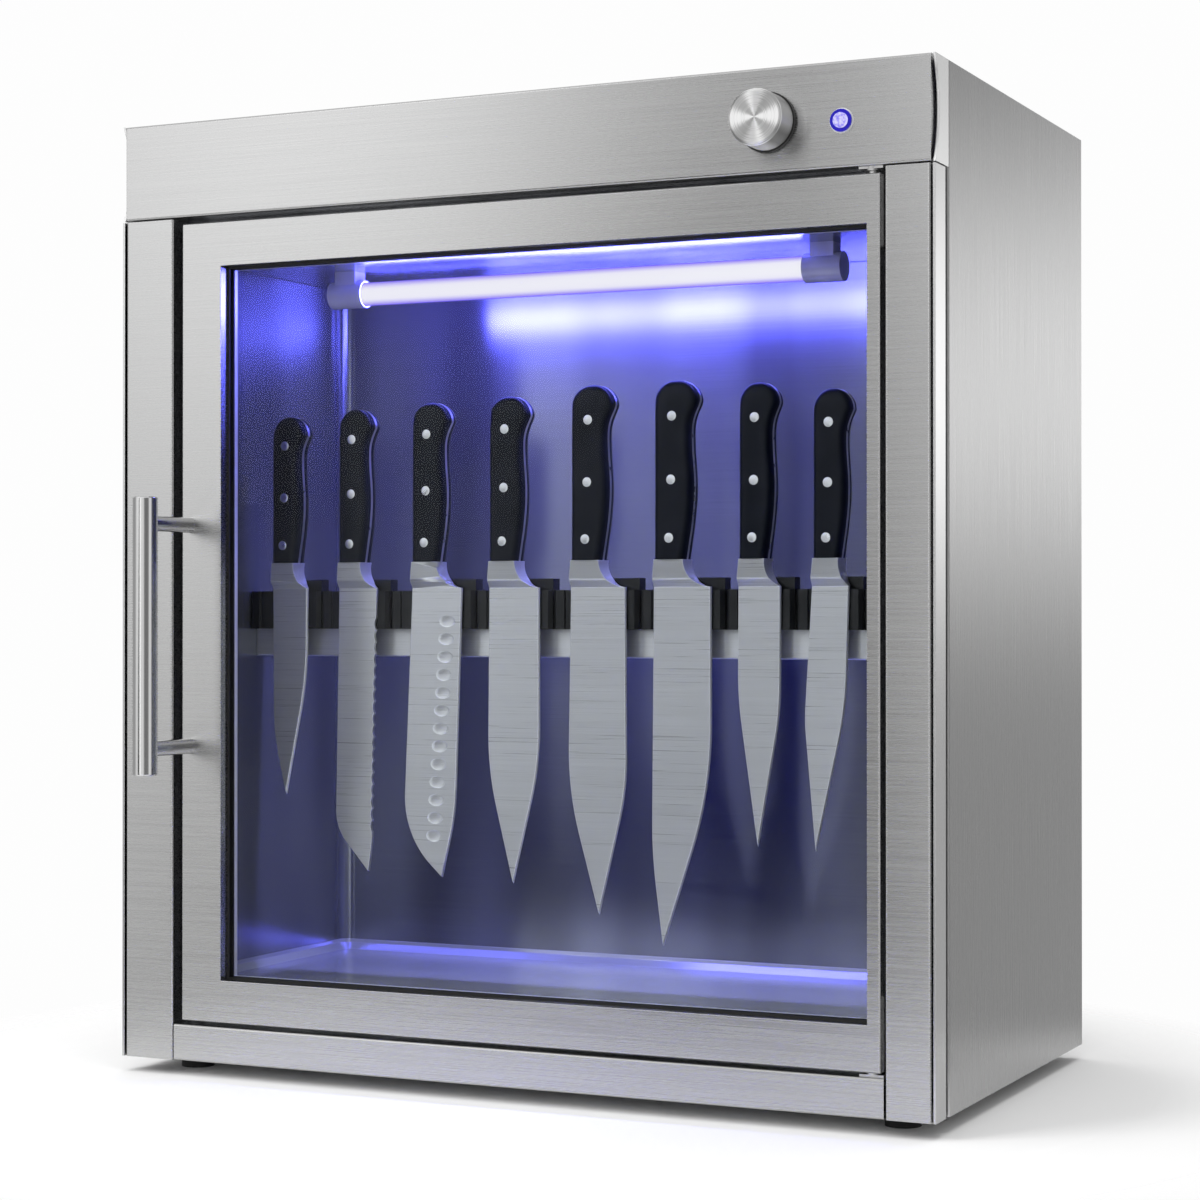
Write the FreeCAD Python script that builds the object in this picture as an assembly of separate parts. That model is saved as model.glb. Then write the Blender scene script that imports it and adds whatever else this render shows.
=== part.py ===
import FreeCAD, Part
import math
import os
from FreeCAD import Vector

# Ultraviolet knife sterilizer cabinet. Millimetres, +Z up, +X to the right seen from the front,
# +Y towards the back. Pieces are built with y = 0 at the front face and z = 0 at the casing's
# bottom edge, and are moved on export so that the origin is the centre of the footprint.

# Casing
body_width = 567.0
body_height = 620.0
body_depth = 321.0
casing_sheet = 1.2
casing_flange = 18.0
foot_height = 10.0

# Front frame
frame_sheet = 1.5
frame_depth = 20.0
header_height = 63.0
left_stile_width = 40.0
right_stile_width = 31.0
rail_height = 24.0
seam_gap = 0.9
corner_gap = 1.2
stile_flange = 14.0
lip_depth = 8.0
cap_hollow = 8.0
cap_tab = 20.0

# Shadow gap between the front frame and the casing, with its black gasket
shadow_gap = 5.0
gasket_inset = 3.5
gasket_width = 12.0

# Steel chamber inside the casing
liner_sheet = 1.0
liner_left_inset = 43.5
liner_right_inset = 38.5
liner_back = 214.0
liner_floor_z = 50.5
liner_ceiling_drop = 26.0
liner_corner_radius = 10.0
tray_height = 8.0
tray_bend = 5.0
liner_flange = 15.0

# Rebate plate that the door closes against
rebate_sheet = 1.0
rebate_side_inset = 18.5
rebate_bottom = 15.0
rebate_overlap_left = 10.5
rebate_overlap_right = 11.5
rebate_overlap_top = 24.5

# Door
door_gap_left = 7.0
door_gap_right = 3.0
door_gap_top = 4.5
door_gap_bottom = 2.7
door_sheet = 1.5
door_corner = 0.8
border_left = 30.4
border_right = 8.0
border_top = 29.1
border_bottom = 27.7
window_return = 8.0
glass_thickness = 4.0
glass_overlap = 4.0
gasket_lip = 1.5
gasket_wall = 1.2
seal_width = 8.0
seal_thickness = 1.7
seal_gap = 0.3
seal_inset = 1.7
seal_hinge_inset = 6.0

# Door pivots
pivot_inset = 5.8
pivot_depth = 6.0
pin_radius = 3.0
pin_length = 21.0
pin_clearance = 0.05
collar_radius = 4.6
collar_height = 1.0
bracket_sheet = 1.5
bracket_reach = 16.5
bracket_front = 1.8
leaf_height = 46.0
leaf_front = 11.5
leaf_gap = 0.2
bush_clearance = 0.2

# Door handle
handle_inset = 6.5
handle_length = 179.0
handle_radius = 8.0
handle_reach = 51.0
handle_drop = 9.1
post_spacing = 145.5
post_radius = 5.0
handle_chamfer = 0.8

# Timer and its knob
knob_inset = 104.0
knob_rise = 30.0
knob_radius = 17.0
knob_depth = 22.0
knob_skirt_radius = 18.0
knob_skirt_height = 2.6
knob_gap = 0.4
knob_chamfer = 1.6
shaft_radius = 3.0
timer_hole_radius = 4.0
timer_width = 42.0
timer_height = 30.0
timer_depth = 30.0

# Pilot lamp
pilot_inset = 57.5
pilot_rise = 27.6
pilot_radius = 6.75
pilot_lens_radius = 4.6
pilot_dome = 1.0
pilot_proud = 1.8
pilot_body_depth = 24.0

# Ultraviolet lamp
lamp_offset = -6.5
lamp_y = 120.0
lamp_drop = 15.5
lamp_span = 376.0
lamp_radius = 8.0
lamp_wall = 0.8
lamp_cap_length = 12.0
holder_radius = 9.5
holder_length = 26.0
holder_socket_depth = 14.0
holder_clearance = 0.3
saddle_width = 16.0
saddle_depth = 14.0

# Knife rack
rack_front = 86.0
block_depth = 11.0
block_height = 25.5
block_rise = 4.3
block_gap = 1.0
block_bevel = 2.5
block_groove = 0.8
groove_inset = 9.0
block_margin = 8.0
tab_width = 26.0
tab_rise = 12.0
tab_front = 5.0
tab_hook = 3.5
strip_sheet = 1.2
strip_height = 40.0
strip_rise = 215.5
strip_return = 9.0
strip_flange = 20.0
magnet_height = 16.0
magnet_depth = 5.0
magnet_length = 28.0
magnet_cover = 1.5

# Knives, hung by their blades with the handle up and the cutting edge to the right
blade_gap = 0.3
blade_thickness = 2.4
bevel = 0.9
heel_rise = 6.0
bolster_height = 17.5
grip_thickness = 17.6
grip_round = 3.5
butt_height = 13.0
butt_steps = 8
hook_share = 1.16
spine_setback = 2.6
neck_share = 0.79
bolster_lip = 5.0
tang_inset = 4.5
tang_edge = 2.0
tang_share = 0.9
tooth_pitch = 8.0
tooth_depth = 1.2

# Service parts behind the chamber and in the header
ballast_length = 180.0
ballast_width = 40.0
ballast_height = 28.0
ballast_ear = 12.0
ballast_round = 3.0
ballast_foot_inset = 6.0
ballast_foot_height = 2.0
ballast_y = 150.0
terminal_ways = 4
terminal_pitch = 10.0
terminal_width = 18.0
terminal_height = 14.0
terminal_shoulder = 4.0
terminal_base_inset = 3.0
terminal_gap = 1.0
terminal_inset = 93.5
inlet_inset = 83.5
inlet_rise = 28.0
inlet_corner = 5.0
inlet_width = 27.0
inlet_height = 20.0
inlet_wall = 1.4
inlet_depth = 22.0
inlet_flange = 5.0
inlet_pin_width = 2.0
inlet_pin_height = 4.0
inlet_pin_length = 11.0
inlet_pin_pitch = 7.0
inlet_pin_rise = 3.0

# Rear covers
back_margin = 2.0
service_split_drop = 5.0
inlet_plate_reach = 50.0
wall_hole_radius = 4.0
wall_hole_spacing_x = 440.0
wall_hole_spacing_z = 400.0
wall_hole_low_z = 120.0
vent_count = 8
vent_width = 4.0
vent_height = 34.0
vent_pitch = 14.0
vent_x = 60.0
vent_rise = 11.0

# Feet
foot_radius = 11.0
foot_inset_x = 33.5
foot_inset_y = 40.0

# Each knife, from the left: its share of the free width before it, its heel's width, its handle's
# height and width, and its blade's corners below the heel, from the spine round the tip to the edge,
# as (across, down, rounding).
knives = [
    {"name": "utility_knife", "space": 22.1, "width": 27.2, "handle": 99.6, "grip": 21.6,
     "blade": [(0.6, 100, 160), (10.3, 140.5), (26.9, 60, 240)]},
    {"name": "bread_knife", "space": 25.3, "width": 28.9, "handle": 103.4, "grip": 21.9,
     "blade": [(-2.6, 162, 30), (22.4, 190.3), (25.2, 170, 60)], "serrated": True},
    {"name": "santoku_knife", "space": 27.7, "width": 37.4, "handle": 105.8, "grip": 23.5,
     "blade": [(-6.8, 165, 60), (22.5, 192.2), (32.5, 150, 160)]},
    {"name": "carving_knife", "space": 20.6, "width": 36.6, "handle": 108.0, "grip": 24.0,
     "blade": [(-1.0, 120, 200), (17.4, 194), (36.8, 115, 200)]},
    {"name": "chef_knife", "space": 23.2, "width": 38.9, "handle": 113.2, "grip": 25.3,
     "blade": [(-2.0, 132, 200), (20.0, 211.5), (39.6, 130, 160)]},
    {"name": "large_chef_knife", "space": 20.1, "width": 39.6, "handle": 114.1, "grip": 25.5,
     "blade": [(-1.4, 170, 300), (6.2, 229.6), (39.8, 128, 260)]},
    {"name": "slicing_knife", "space": 18.8, "width": 28.5, "handle": 110.8, "grip": 22.0,
     "blade": [(-0.4, 70, 220), (13.0, 163.6), (28.2, 78, 200)]},
    {"name": "boning_knife", "space": 21.0, "width": 24.5, "handle": 105.2, "grip": 21.5,
     "blade": [(-5.0, 84, 120), (2.3, 165.3), (22.2, 76, 220)]},
]
space_after_knives = 44.6

# Places that several pieces share
half_width = body_width / 2
header_z = body_height - header_height
door_depth = frame_depth - seal_thickness - seal_gap
frame_edge = half_width - frame_sheet - corner_gap
left_jamb = -half_width + left_stile_width
right_jamb = half_width - right_stile_width
casing_front = frame_depth + shadow_gap
rebate_back = frame_depth + rebate_sheet
door_left = left_jamb + door_gap_left
door_right = right_jamb - door_gap_right
door_bottom = rail_height + door_gap_bottom
door_top = header_z - door_gap_top
window_left = door_left + border_left
window_right = door_right - border_right
window_bottom = door_bottom + border_bottom
window_top = door_top - border_top
glass_front = window_return + gasket_wall
glass_back = glass_front + glass_thickness
gasket_back = glass_back + gasket_wall
pivot_x = door_right - pivot_inset
bush_half_width = pivot_inset - door_sheet
bush_height = border_bottom - door_sheet - glass_overlap - gasket_wall - bush_clearance
leaf_back = frame_depth - frame_sheet - leaf_gap
handle_x = door_left + handle_inset
handle_centre_z = (door_bottom + door_top) / 2 - handle_drop
back_panel_y = body_depth - casing_sheet
rear_edge = half_width - casing_sheet - back_margin
rear_bottom = casing_sheet + back_margin
rear_top = body_height - casing_sheet - back_margin
service_split_z = header_z - service_split_drop
rebate_half_width = half_width - rebate_side_inset
rebate_open_left = door_left + rebate_overlap_left
rebate_open_right = door_right - rebate_overlap_right
rebate_open_top = door_top - rebate_overlap_top
liner_left = -half_width + liner_left_inset
liner_right = half_width - liner_right_inset
liner_ceiling_z = header_z - liner_ceiling_drop
knob_x = half_width - knob_inset
knob_z = header_z + knob_rise
pilot_x = half_width - pilot_inset
pilot_z = header_z + pilot_rise
inlet_x = -half_width + inlet_inset
inlet_z = header_z + inlet_rise
inlet_plate_right = inlet_x + inlet_plate_reach
terminal_x = -half_width + terminal_inset
lamp_x = (liner_left + liner_right) / 2 + lamp_offset
lamp_z = liner_ceiling_z - lamp_drop
lamp_left = lamp_x - lamp_span / 2
lamp_right = lamp_x + lamp_span / 2
strip_bottom = liner_floor_z + strip_rise
strip_top = strip_bottom + strip_height
block_top = strip_top + block_rise
block_bottom = block_top - block_height
tab_top = strip_top + tab_rise
heel_z = strip_top + heel_rise
handle_bottom_z = heel_z + bolster_height
strip_front = rack_front + block_depth
blade_back = rack_front - blade_gap
blade_front = blade_back - blade_thickness
blade_y = (blade_front + blade_back) / 2
service_z = liner_ceiling_z + liner_sheet
knob_base = -knob_gap - knob_skirt_height

# The knives spread over the chamber's width
free_width = liner_right - liner_left - sum(knife["width"] for knife in knives)
spread = free_width / (sum(knife["space"] for knife in knives) + space_after_knives)
spine_x = liner_left
for knife in knives:
    spine_x += knife["space"] * spread
    knife["spine_x"] = spine_x
    spine_x += knife["width"]


def at(plane, u, v, w):
    """The point (u, v) of a plane, w along the plane's normal."""
    places = {"xy": (u, v, w), "xz": (u, w, v), "yz": (w, u, v)}
    return Vector(*places[plane])


def rounded_wire(plane, corners, w):
    """A closed wire through corners (u, v), each rounded where it has a third value, its radius."""
    stops = []
    for i, corner in enumerate(corners):
        here = Vector(corner[0], corner[1], 0)
        radius = corner[2] if len(corner) > 2 else 0
        if radius == 0:
            stops.append((here,))
            continue
        back = (Vector(*corners[i - 1][:2], 0) - here).normalize()
        ahead = (Vector(*corners[(i + 1) % len(corners)][:2], 0) - here).normalize()
        half = back.getAngle(ahead) / 2
        bisector = (back + ahead).normalize()
        reach = radius / math.tan(half)
        middle = here + bisector * (radius / math.sin(half) - radius)
        stops.append((here + back * reach, middle, here + ahead * reach))
    edges = []
    for i, stop in enumerate(stops):
        if len(stop) == 3:
            edges.append(Part.Arc(*[at(plane, p.x, p.y, w) for p in stop]).toShape())
        start = stop[-1]
        end = stops[(i + 1) % len(stops)][0]
        if start.distanceToPoint(end) > 1e-6:
            edges.append(Part.makeLine(at(plane, start.x, start.y, w), at(plane, end.x, end.y, w)))
    return Part.Wire(edges)


def prism(plane, corners, start, end):
    """A closed outline extruded along the plane's normal."""
    face = Part.Face(rounded_wire(plane, corners, start))
    return face.extrude(at(plane, 0, 0, end - start))


def rectangle(u0, u1, v0, v1, radius=0):
    return [(u0, v0, radius), (u1, v0, radius), (u1, v1, radius), (u0, v1, radius)]


def block(x0, x1, y0, y1, z0, z1, radius=0):
    """A box, with its four edges along Z rounded."""
    return prism("xy", rectangle(x0, x1, y0, y1, radius), z0, z1)


def ring(outer, inner, y0, y1):
    """A flat frame in the XZ plane between two outlines."""
    return prism("xz", outer, y0, y1).cut(prism("xz", inner, y0, y1))


def folded(plane, path, sheet, start, end, radius=0):
    """Sheet bent along a path, sharp inside unless a radius is given. The metal lies to the path's left."""
    along = []
    beside = []
    for i, (u, v) in enumerate(path):
        before = path[max(i - 1, 0)]
        after = path[min(i + 1, len(path) - 1)]
        arriving = Vector(u - before[0], v - before[1], 0) if i > 0 else None
        leaving = Vector(after[0] - u, after[1] - v, 0) if i < len(path) - 1 else None
        arriving = (arriving or leaving).normalize()
        leaving = (leaving or arriving).normalize()
        normal_in = Vector(-arriving.y, arriving.x, 0)
        normal_out = Vector(-leaving.y, leaving.x, 0)
        mitre = (normal_in + normal_out) * (sheet / (1 + normal_in.dot(normal_out)))
        turn = arriving.cross(leaving).z
        near = 0 if abs(turn) < 1e-9 else radius + (sheet if turn > 0 else 0)
        far = 0 if abs(turn) < 1e-9 else radius + (sheet if turn < 0 else 0)
        along.append((u, v, near))
        beside.append((u + mitre.x, v + mitre.y, far))
    return prism(plane, along + beside[::-1], start, end)


def turned(axis, profile, base):
    """A solid of revolution about a line through base, from (radius, along, rounding) corners."""
    if axis == "x":
        swapped = [(corner[1], corner[0]) + tuple(corner[2:]) for corner in profile]
        face = Part.Face(rounded_wire("xz", swapped, 0))
        direction = Vector(1, 0, 0)
    elif axis == "y":
        face = Part.Face(rounded_wire("xy", profile, 0))
        direction = Vector(0, 1, 0)
    else:
        face = Part.Face(rounded_wire("xz", profile, 0))
        direction = Vector(0, 0, 1)
    solid = face.revolve(Vector(0, 0, 0), direction, 360)
    solid.translate(base)
    return solid


def rod(axis, radius, start, end, base):
    """A plain cylinder from start to end along an axis through base."""
    directions = {"x": Vector(1, 0, 0), "y": Vector(0, 1, 0), "z": Vector(0, 0, 1)}
    direction = directions[axis]
    return Part.makeCylinder(radius, end - start, base + direction * start, direction)


def mirrored(shape, normal, middle=0):
    """The shape's mirror image in the plane at middle along the normal."""
    return shape.mirror(normal * middle, normal)


def on_both_sides(shape, middle=0):
    return [shape, mirrored(shape, Vector(1, 0, 0), middle)]


def top_and_bottom(shape, middle):
    return [shape, mirrored(shape, Vector(0, 0, 1), middle)]


def left_side_panel():
    return mirrored(right_side_panel(), Vector(1, 0, 0))


def right_side_panel():
    """Side wall with an inward flange at the front and the back, notched at its ends."""
    path = [(half_width - casing_flange, casing_front), (half_width, casing_front),
            (half_width, body_depth), (half_width - casing_flange, body_depth)]
    panel = folded("xy", path, casing_sheet, 0, body_height)
    inner = half_width - casing_sheet
    for z0, z1 in ((0, casing_flange), (body_height - casing_flange, body_height)):
        panel = panel.cut(block(0, inner, 0, body_depth, z0, z1))
    return panel


def top_panel():
    path = [(body_depth, body_height - casing_flange + seam_gap), (body_depth, body_height),
            (casing_front, body_height), (casing_front, body_height - casing_flange + seam_gap)]
    inner = half_width - casing_sheet
    return folded("yz", path, casing_sheet, -inner, inner)


def base_pan():
    path = [(casing_front, casing_flange - seam_gap), (casing_front, 0),
            (body_depth, 0), (body_depth, casing_flange - seam_gap)]
    inner = half_width - casing_sheet
    return folded("yz", path, casing_sheet, -inner, inner)


def rear_plate(x0, x1, z0, z1):
    """A flat plate in the casing's rear opening, behind the casing's flanges."""
    return prism("xz", rectangle(x0, x1, z0, z1), back_panel_y - casing_sheet, back_panel_y)


def back_panel():
    """Rear cover behind the chamber, with the wall-mounting holes."""
    panel = rear_plate(-rear_edge, rear_edge, rear_bottom, service_split_z)
    return drilled(panel, wall_hole_places(), "y", wall_hole_radius)


def service_cover():
    """Rear cover of the electrical space in the header, with its vents."""
    plate = rear_plate(inlet_plate_right + seam_gap, rear_edge, service_split_z + seam_gap, rear_top)
    vent_bottom = header_z + vent_rise
    for i in range(vent_count):
        x = vent_x + i * vent_pitch
        plate = plate.cut(block(x, x + vent_width, 0, body_depth, vent_bottom, vent_bottom + vent_height))
    return plate


def inlet_plate():
    """Plate beside the service cover that carries the mains inlet."""
    plate = rear_plate(-rear_edge, inlet_plate_right, service_split_z + seam_gap, rear_top)
    return plate.cut(inlet_shell(0, body_depth))


def drilled(shape, places, axis, radius):
    """The shape with a hole right through it along an axis at each place."""
    for place in places:
        shape = shape.cut(rod(axis, radius, -body_height, body_height, place))
    return shape


def wall_hole_places():
    rows = (wall_hole_low_z, wall_hole_low_z + wall_hole_spacing_z)
    return [Vector(side * wall_hole_spacing_x / 2, 0, z) for side in (-1, 1) for z in rows]


def foot_places():
    x = half_width - foot_inset_x
    rows = (foot_inset_y, body_depth - foot_inset_y)
    return [Vector(side * x, y, 0) for side in (-1, 1) for y in rows]


def stile(jamb):
    """Upright of the front frame on the right: rear flange, door jamb, face and outer lip."""
    depth = frame_depth - frame_sheet
    path = [(jamb + stile_flange, depth), (jamb, depth), (jamb, 0), (frame_edge, 0), (frame_edge, lip_depth)]
    return folded("xy", path, frame_sheet, 0, header_z - seam_gap)


def left_stile():
    return mirrored(stile(-left_jamb), Vector(1, 0, 0))


def right_stile():
    return stile(right_jamb)


def frame_sides():
    """The angle strips that close the two sides of the front frame, one each side."""
    path = [(half_width, 0), (half_width, frame_depth), (rebate_half_width - stile_flange / 2, frame_depth)]
    return on_both_sides(folded("xy", path, frame_sheet, 0, header_z - seam_gap))


def bottom_rail():
    path = [(frame_depth, rebate_bottom - seam_gap), (frame_depth, rail_height), (0, rail_height),
            (0, 0), (casing_front, 0)]
    return folded("yz", path, frame_sheet, left_jamb + seam_gap, right_jamb - seam_gap)


def control_fascia():
    """Header channel across the top, with short end lips and the holes of the timer and the pilot lamp."""
    path = [(casing_front, body_height), (0, body_height), (0, header_z), (casing_front, header_z),
            (casing_front, header_z + lip_depth)]
    channel = folded("yz", path, frame_sheet, -frame_edge, frame_edge)
    lip = block(frame_edge - frame_sheet, frame_edge, frame_sheet, lip_depth,
                header_z + frame_sheet, body_height - frame_sheet)
    channel = channel.fuse(on_both_sides(lip)).removeSplitter()
    channel = channel.cut(rod("y", timer_hole_radius, 0, frame_sheet, Vector(knob_x, 0, knob_z)))
    return channel.cut(rod("y", pilot_lens_radius, 0, frame_sheet, Vector(pilot_x, 0, pilot_z)))


def fascia_end_caps():
    """Polished end plates of the header, each with a hollowed front edge and two fixing tabs."""
    middle = (header_z + body_height) / 2
    front = 0.6
    hollow = Part.Arc(at("yz", front, body_height, frame_edge + corner_gap),
                      at("yz", cap_hollow, middle, frame_edge + corner_gap),
                      at("yz", front, header_z, frame_edge + corner_gap)).toShape()
    rest = Part.makePolygon([at("yz", y, z, frame_edge + corner_gap) for y, z in
                             ((front, header_z), (casing_front, header_z),
                              (casing_front, body_height), (front, body_height))])
    plate = Part.Face(Part.Wire([hollow] + rest.Edges)).extrude(Vector(frame_sheet, 0, 0))
    tab = block(half_width - cap_tab, half_width - frame_sheet, cap_hollow + 1,
                casing_front - 2 * frame_sheet, header_z + frame_sheet, header_z + 2 * frame_sheet)
    tabs = top_and_bottom(tab, middle)
    return on_both_sides(plate.fuse(tabs).removeSplitter())


def frame_gasket():
    """Black gasket that sets the casing off from the front frame: down both sides and along the bottom."""
    outer = half_width - gasket_inset
    inner = outer - gasket_width
    top = header_z - seam_gap
    bottom = frame_sheet
    outline = [(-outer, bottom), (outer, bottom), (outer, top), (inner, top), (inner, bottom + gasket_width),
               (-inner, bottom + gasket_width), (-inner, top), (-outer, top)]
    return prism("xz", outline, frame_depth, casing_front)


def rebate_frame():
    """Flat plate round the chamber's mouth that the door's seal closes on."""
    outer = rectangle(-rebate_half_width, rebate_half_width, rebate_bottom, header_z)
    inner = rectangle(rebate_open_left, rebate_open_right, liner_floor_z, rebate_open_top)
    return ring(outer, inner, frame_depth, rebate_back)


def liner_wrap():
    """The chamber's two side walls and back in one sheet with large bends."""
    path = [(liner_left, rebate_back), (liner_left, liner_back), (liner_right, liner_back),
            (liner_right, rebate_back)]
    return folded("xy", path, liner_sheet, liner_floor_z - liner_sheet, liner_ceiling_z, liner_corner_radius)


def liner_floor():
    """The chamber's floor tray, with coved upstands against the walls and an open front."""
    low = liner_floor_z - liner_sheet
    outline = [(liner_left, rebate_back), (liner_right, rebate_back),
               (liner_right, liner_back, liner_corner_radius), (liner_left, liner_back, liner_corner_radius)]
    tray = prism("xy", outline, low, low + tray_height)
    rim = [edge for edge in tray.Edges
           if abs(edge.BoundBox.ZMax - low) < 1e-6 and edge.BoundBox.YMax > rebate_back + 1]
    tray = tray.makeChamfer(tray_bend, rim)
    open_faces = [face for face in tray.Faces
                  if face.BoundBox.ZMin > low + tray_height - 1e-6 or face.BoundBox.YMax < rebate_back + 1e-6]
    return tray.makeThickness(open_faces, -liner_sheet, 1e-4)


def liner_ceiling():
    path = [(rebate_back, service_z + liner_flange), (rebate_back, liner_ceiling_z),
            (liner_back + liner_sheet, liner_ceiling_z)]
    return folded("yz", path, liner_sheet, liner_left - liner_sheet, liner_right + liner_sheet)


def lamp_tube():
    """Quartz tube between its end caps."""
    start = lamp_left + holder_length - holder_socket_depth + lamp_cap_length
    end = lamp_right - holder_length + holder_socket_depth - lamp_cap_length
    base = Vector(0, lamp_y, lamp_z)
    return rod("x", lamp_radius, start, end, base).cut(rod("x", lamp_radius - lamp_wall, start, end, base))


def lamp_caps():
    """Metal caps on the tube's ends, seated in the holders."""
    seat = lamp_right - holder_length + holder_socket_depth
    cap = rod("x", lamp_radius, seat - lamp_cap_length, seat, Vector(0, lamp_y, lamp_z))
    return on_both_sides(cap, lamp_x)


def lamp_holders():
    """Round sockets that grip the lamp's caps, each on a saddle that hangs it from the ceiling."""
    base = Vector(0, lamp_y, lamp_z)
    mouth = lamp_right - holder_length
    barrel = rod("x", holder_radius, mouth, lamp_right, base)
    middle = lamp_right - holder_length / 2
    saddle = block(middle - saddle_width / 2, middle + saddle_width / 2,
                   lamp_y - saddle_depth / 2, lamp_y + saddle_depth / 2, lamp_z, liner_ceiling_z)
    socket = rod("x", lamp_radius + holder_clearance, mouth, mouth + holder_socket_depth, base)
    return on_both_sides(barrel.fuse(saddle).removeSplitter().cut(socket), lamp_x)


def block_bounds():
    """Where each rack block starts and ends: one behind each knife, and a filler at the right."""
    stops = [liner_left + block_gap / 2]
    stops += [knife["spine_x"] + knife["width"] + block_margin for knife in knives]
    stops.append(liner_right - block_gap / 2)
    return [(stops[i] + block_gap / 2, stops[i + 1] - block_gap / 2) for i in range(len(stops) - 1)]


def rack_block(x0, x1, has_tab):
    """One plastic block of the rack: bevelled front edges, grooved face, magnet pocket, hooked tab."""
    outline = [(x0, rack_front + block_bevel), (x0 + block_bevel, rack_front), (x1 - block_bevel, rack_front),
               (x1, rack_front + block_bevel), (x1, strip_front), (x0, strip_front)]
    body = prism("xy", outline, block_bottom, block_top)
    for x in (x0 + groove_inset, x1 - groove_inset):
        groove = [(x - block_groove, rack_front), (x, rack_front + block_groove),
                  (x + block_groove, rack_front)]
        body = body.cut(prism("xy", groove, block_bottom, block_top))
    if has_tab:
        hook = [(rack_front + tab_front, strip_top), (strip_front + tab_hook, strip_top),
                (strip_front + tab_hook, tab_top), (rack_front + tab_front, tab_top)]
        body = body.fuse(prism("yz", hook, x1 - tab_width, x1 - block_gap)).removeSplitter()
        body = body.cut(magnet(x0, x1))
    return body


def magnet(x0, x1):
    middle_x = (x0 + x1) / 2
    middle_z = (block_bottom + block_top) / 2
    front = rack_front + magnet_cover
    return block(middle_x - magnet_length / 2, middle_x + magnet_length / 2, front, front + magnet_depth,
                 middle_z - magnet_height / 2, middle_z + magnet_height / 2)


def rack_blocks():
    bounds = block_bounds()
    return [rack_block(x0, x1, i < len(knives)) for i, (x0, x1) in enumerate(bounds)]


def rack_magnets():
    return [magnet(x0, x1) for x0, x1 in block_bounds()[:len(knives)]]


def rack_strip():
    """Brushed steel strip from wall to wall, with a return along its bottom and a flange at each end."""
    path = [(strip_front, strip_top), (strip_front, strip_bottom), (strip_front + strip_return, strip_bottom)]
    strip = folded("yz", path, strip_sheet, liner_left, liner_right)
    ends = [block(liner_left, liner_left + strip_sheet, strip_front, strip_front + strip_flange,
                  strip_bottom, strip_top),
            block(liner_right - strip_sheet, liner_right, strip_front, strip_front + strip_flange,
                  strip_bottom, strip_top)]
    return strip.fuse(ends).removeSplitter()


def door_skin():
    """Front of the door: a folded tray with the window cut and its edge turned back."""
    outline = rectangle(door_left, door_right, door_bottom, door_top)
    solid = prism("xz", outline, 0, door_depth)
    front_edges = [edge for edge in solid.Edges if edge.BoundBox.YMax < 1e-6]
    solid = solid.makeChamfer(door_corner, front_edges)
    hollow = rectangle(door_left + door_sheet, door_right - door_sheet, door_bottom + door_sheet,
                       door_top - door_sheet)
    tray = solid.cut(prism("xz", hollow, door_sheet, door_depth))
    tray = tray.fuse(prism("xz", glass_outline(door_sheet), door_sheet / 2, window_return))
    tray = tray.cut(prism("xz", glass_outline(0), 0, window_return)).removeSplitter()
    return drilled(tray, [Vector(pivot_x, pivot_depth, 0)], "z", pin_radius + pin_clearance)


def glass_outline(grow):
    """The window's outline, grown on all sides."""
    return rectangle(window_left - grow, window_right + grow, window_bottom - grow, window_top + grow)


def door_glass():
    return prism("xz", glass_outline(glass_overlap), glass_front, glass_back)


def glass_gasket():
    """Channel gasket round the glass, with a lip that shows inside the window."""
    outer = glass_outline(glass_overlap + gasket_wall)
    return ring(outer, glass_outline(-gasket_lip), window_return, gasket_back).cut(door_glass())


def door_backing():
    """Rear plate of the door, with a turned lip that holds the glass in."""
    outer = rectangle(door_left + door_sheet, door_right - door_sheet, door_bottom + door_sheet,
                      door_top - door_sheet)
    plate = ring(outer, glass_outline(-gasket_lip), door_depth - door_sheet, door_depth)
    lip = ring(glass_outline(-gasket_lip + door_sheet), glass_outline(-gasket_lip), gasket_back,
               door_depth - door_sheet)
    return plate.fuse(lip).removeSplitter()


def door_seal():
    """Magnetic seal on the back of the door, set in on the hinge side so that it clears as the door turns."""
    left = door_left + seal_inset
    right = door_right - seal_hinge_inset
    bottom = door_bottom + 2 * seal_inset
    top = door_top - 2 * seal_inset
    outer = rectangle(left, right, bottom, top)
    inner = rectangle(left + seal_width, right - seal_width, bottom + seal_width, top - seal_width)
    return ring(outer, inner, door_depth, door_depth + seal_thickness)


def handle_post_places():
    return [Vector(handle_x, 0, handle_centre_z + side * post_spacing / 2) for side in (-1, 1)]


def handle_bar():
    start = handle_centre_z - handle_length / 2
    end = handle_centre_z + handle_length / 2
    bar = rod("z", handle_radius, start, end, Vector(handle_x, -handle_reach, 0))
    rims = [edge for edge in bar.Edges if edge.Curve.TypeId == "Part::GeomCircle"]
    return bar.makeChamfer(handle_chamfer, rims)


def handle_posts():
    """Standoffs between the door and the handle bar."""
    posts = []
    for place in handle_post_places():
        post = rod("y", post_radius, -handle_reach, 0, place)
        bar = rod("z", handle_radius, -handle_length, handle_length, place + Vector(0, -handle_reach, 0))
        posts.append(post.cut(bar))
    return posts


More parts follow.
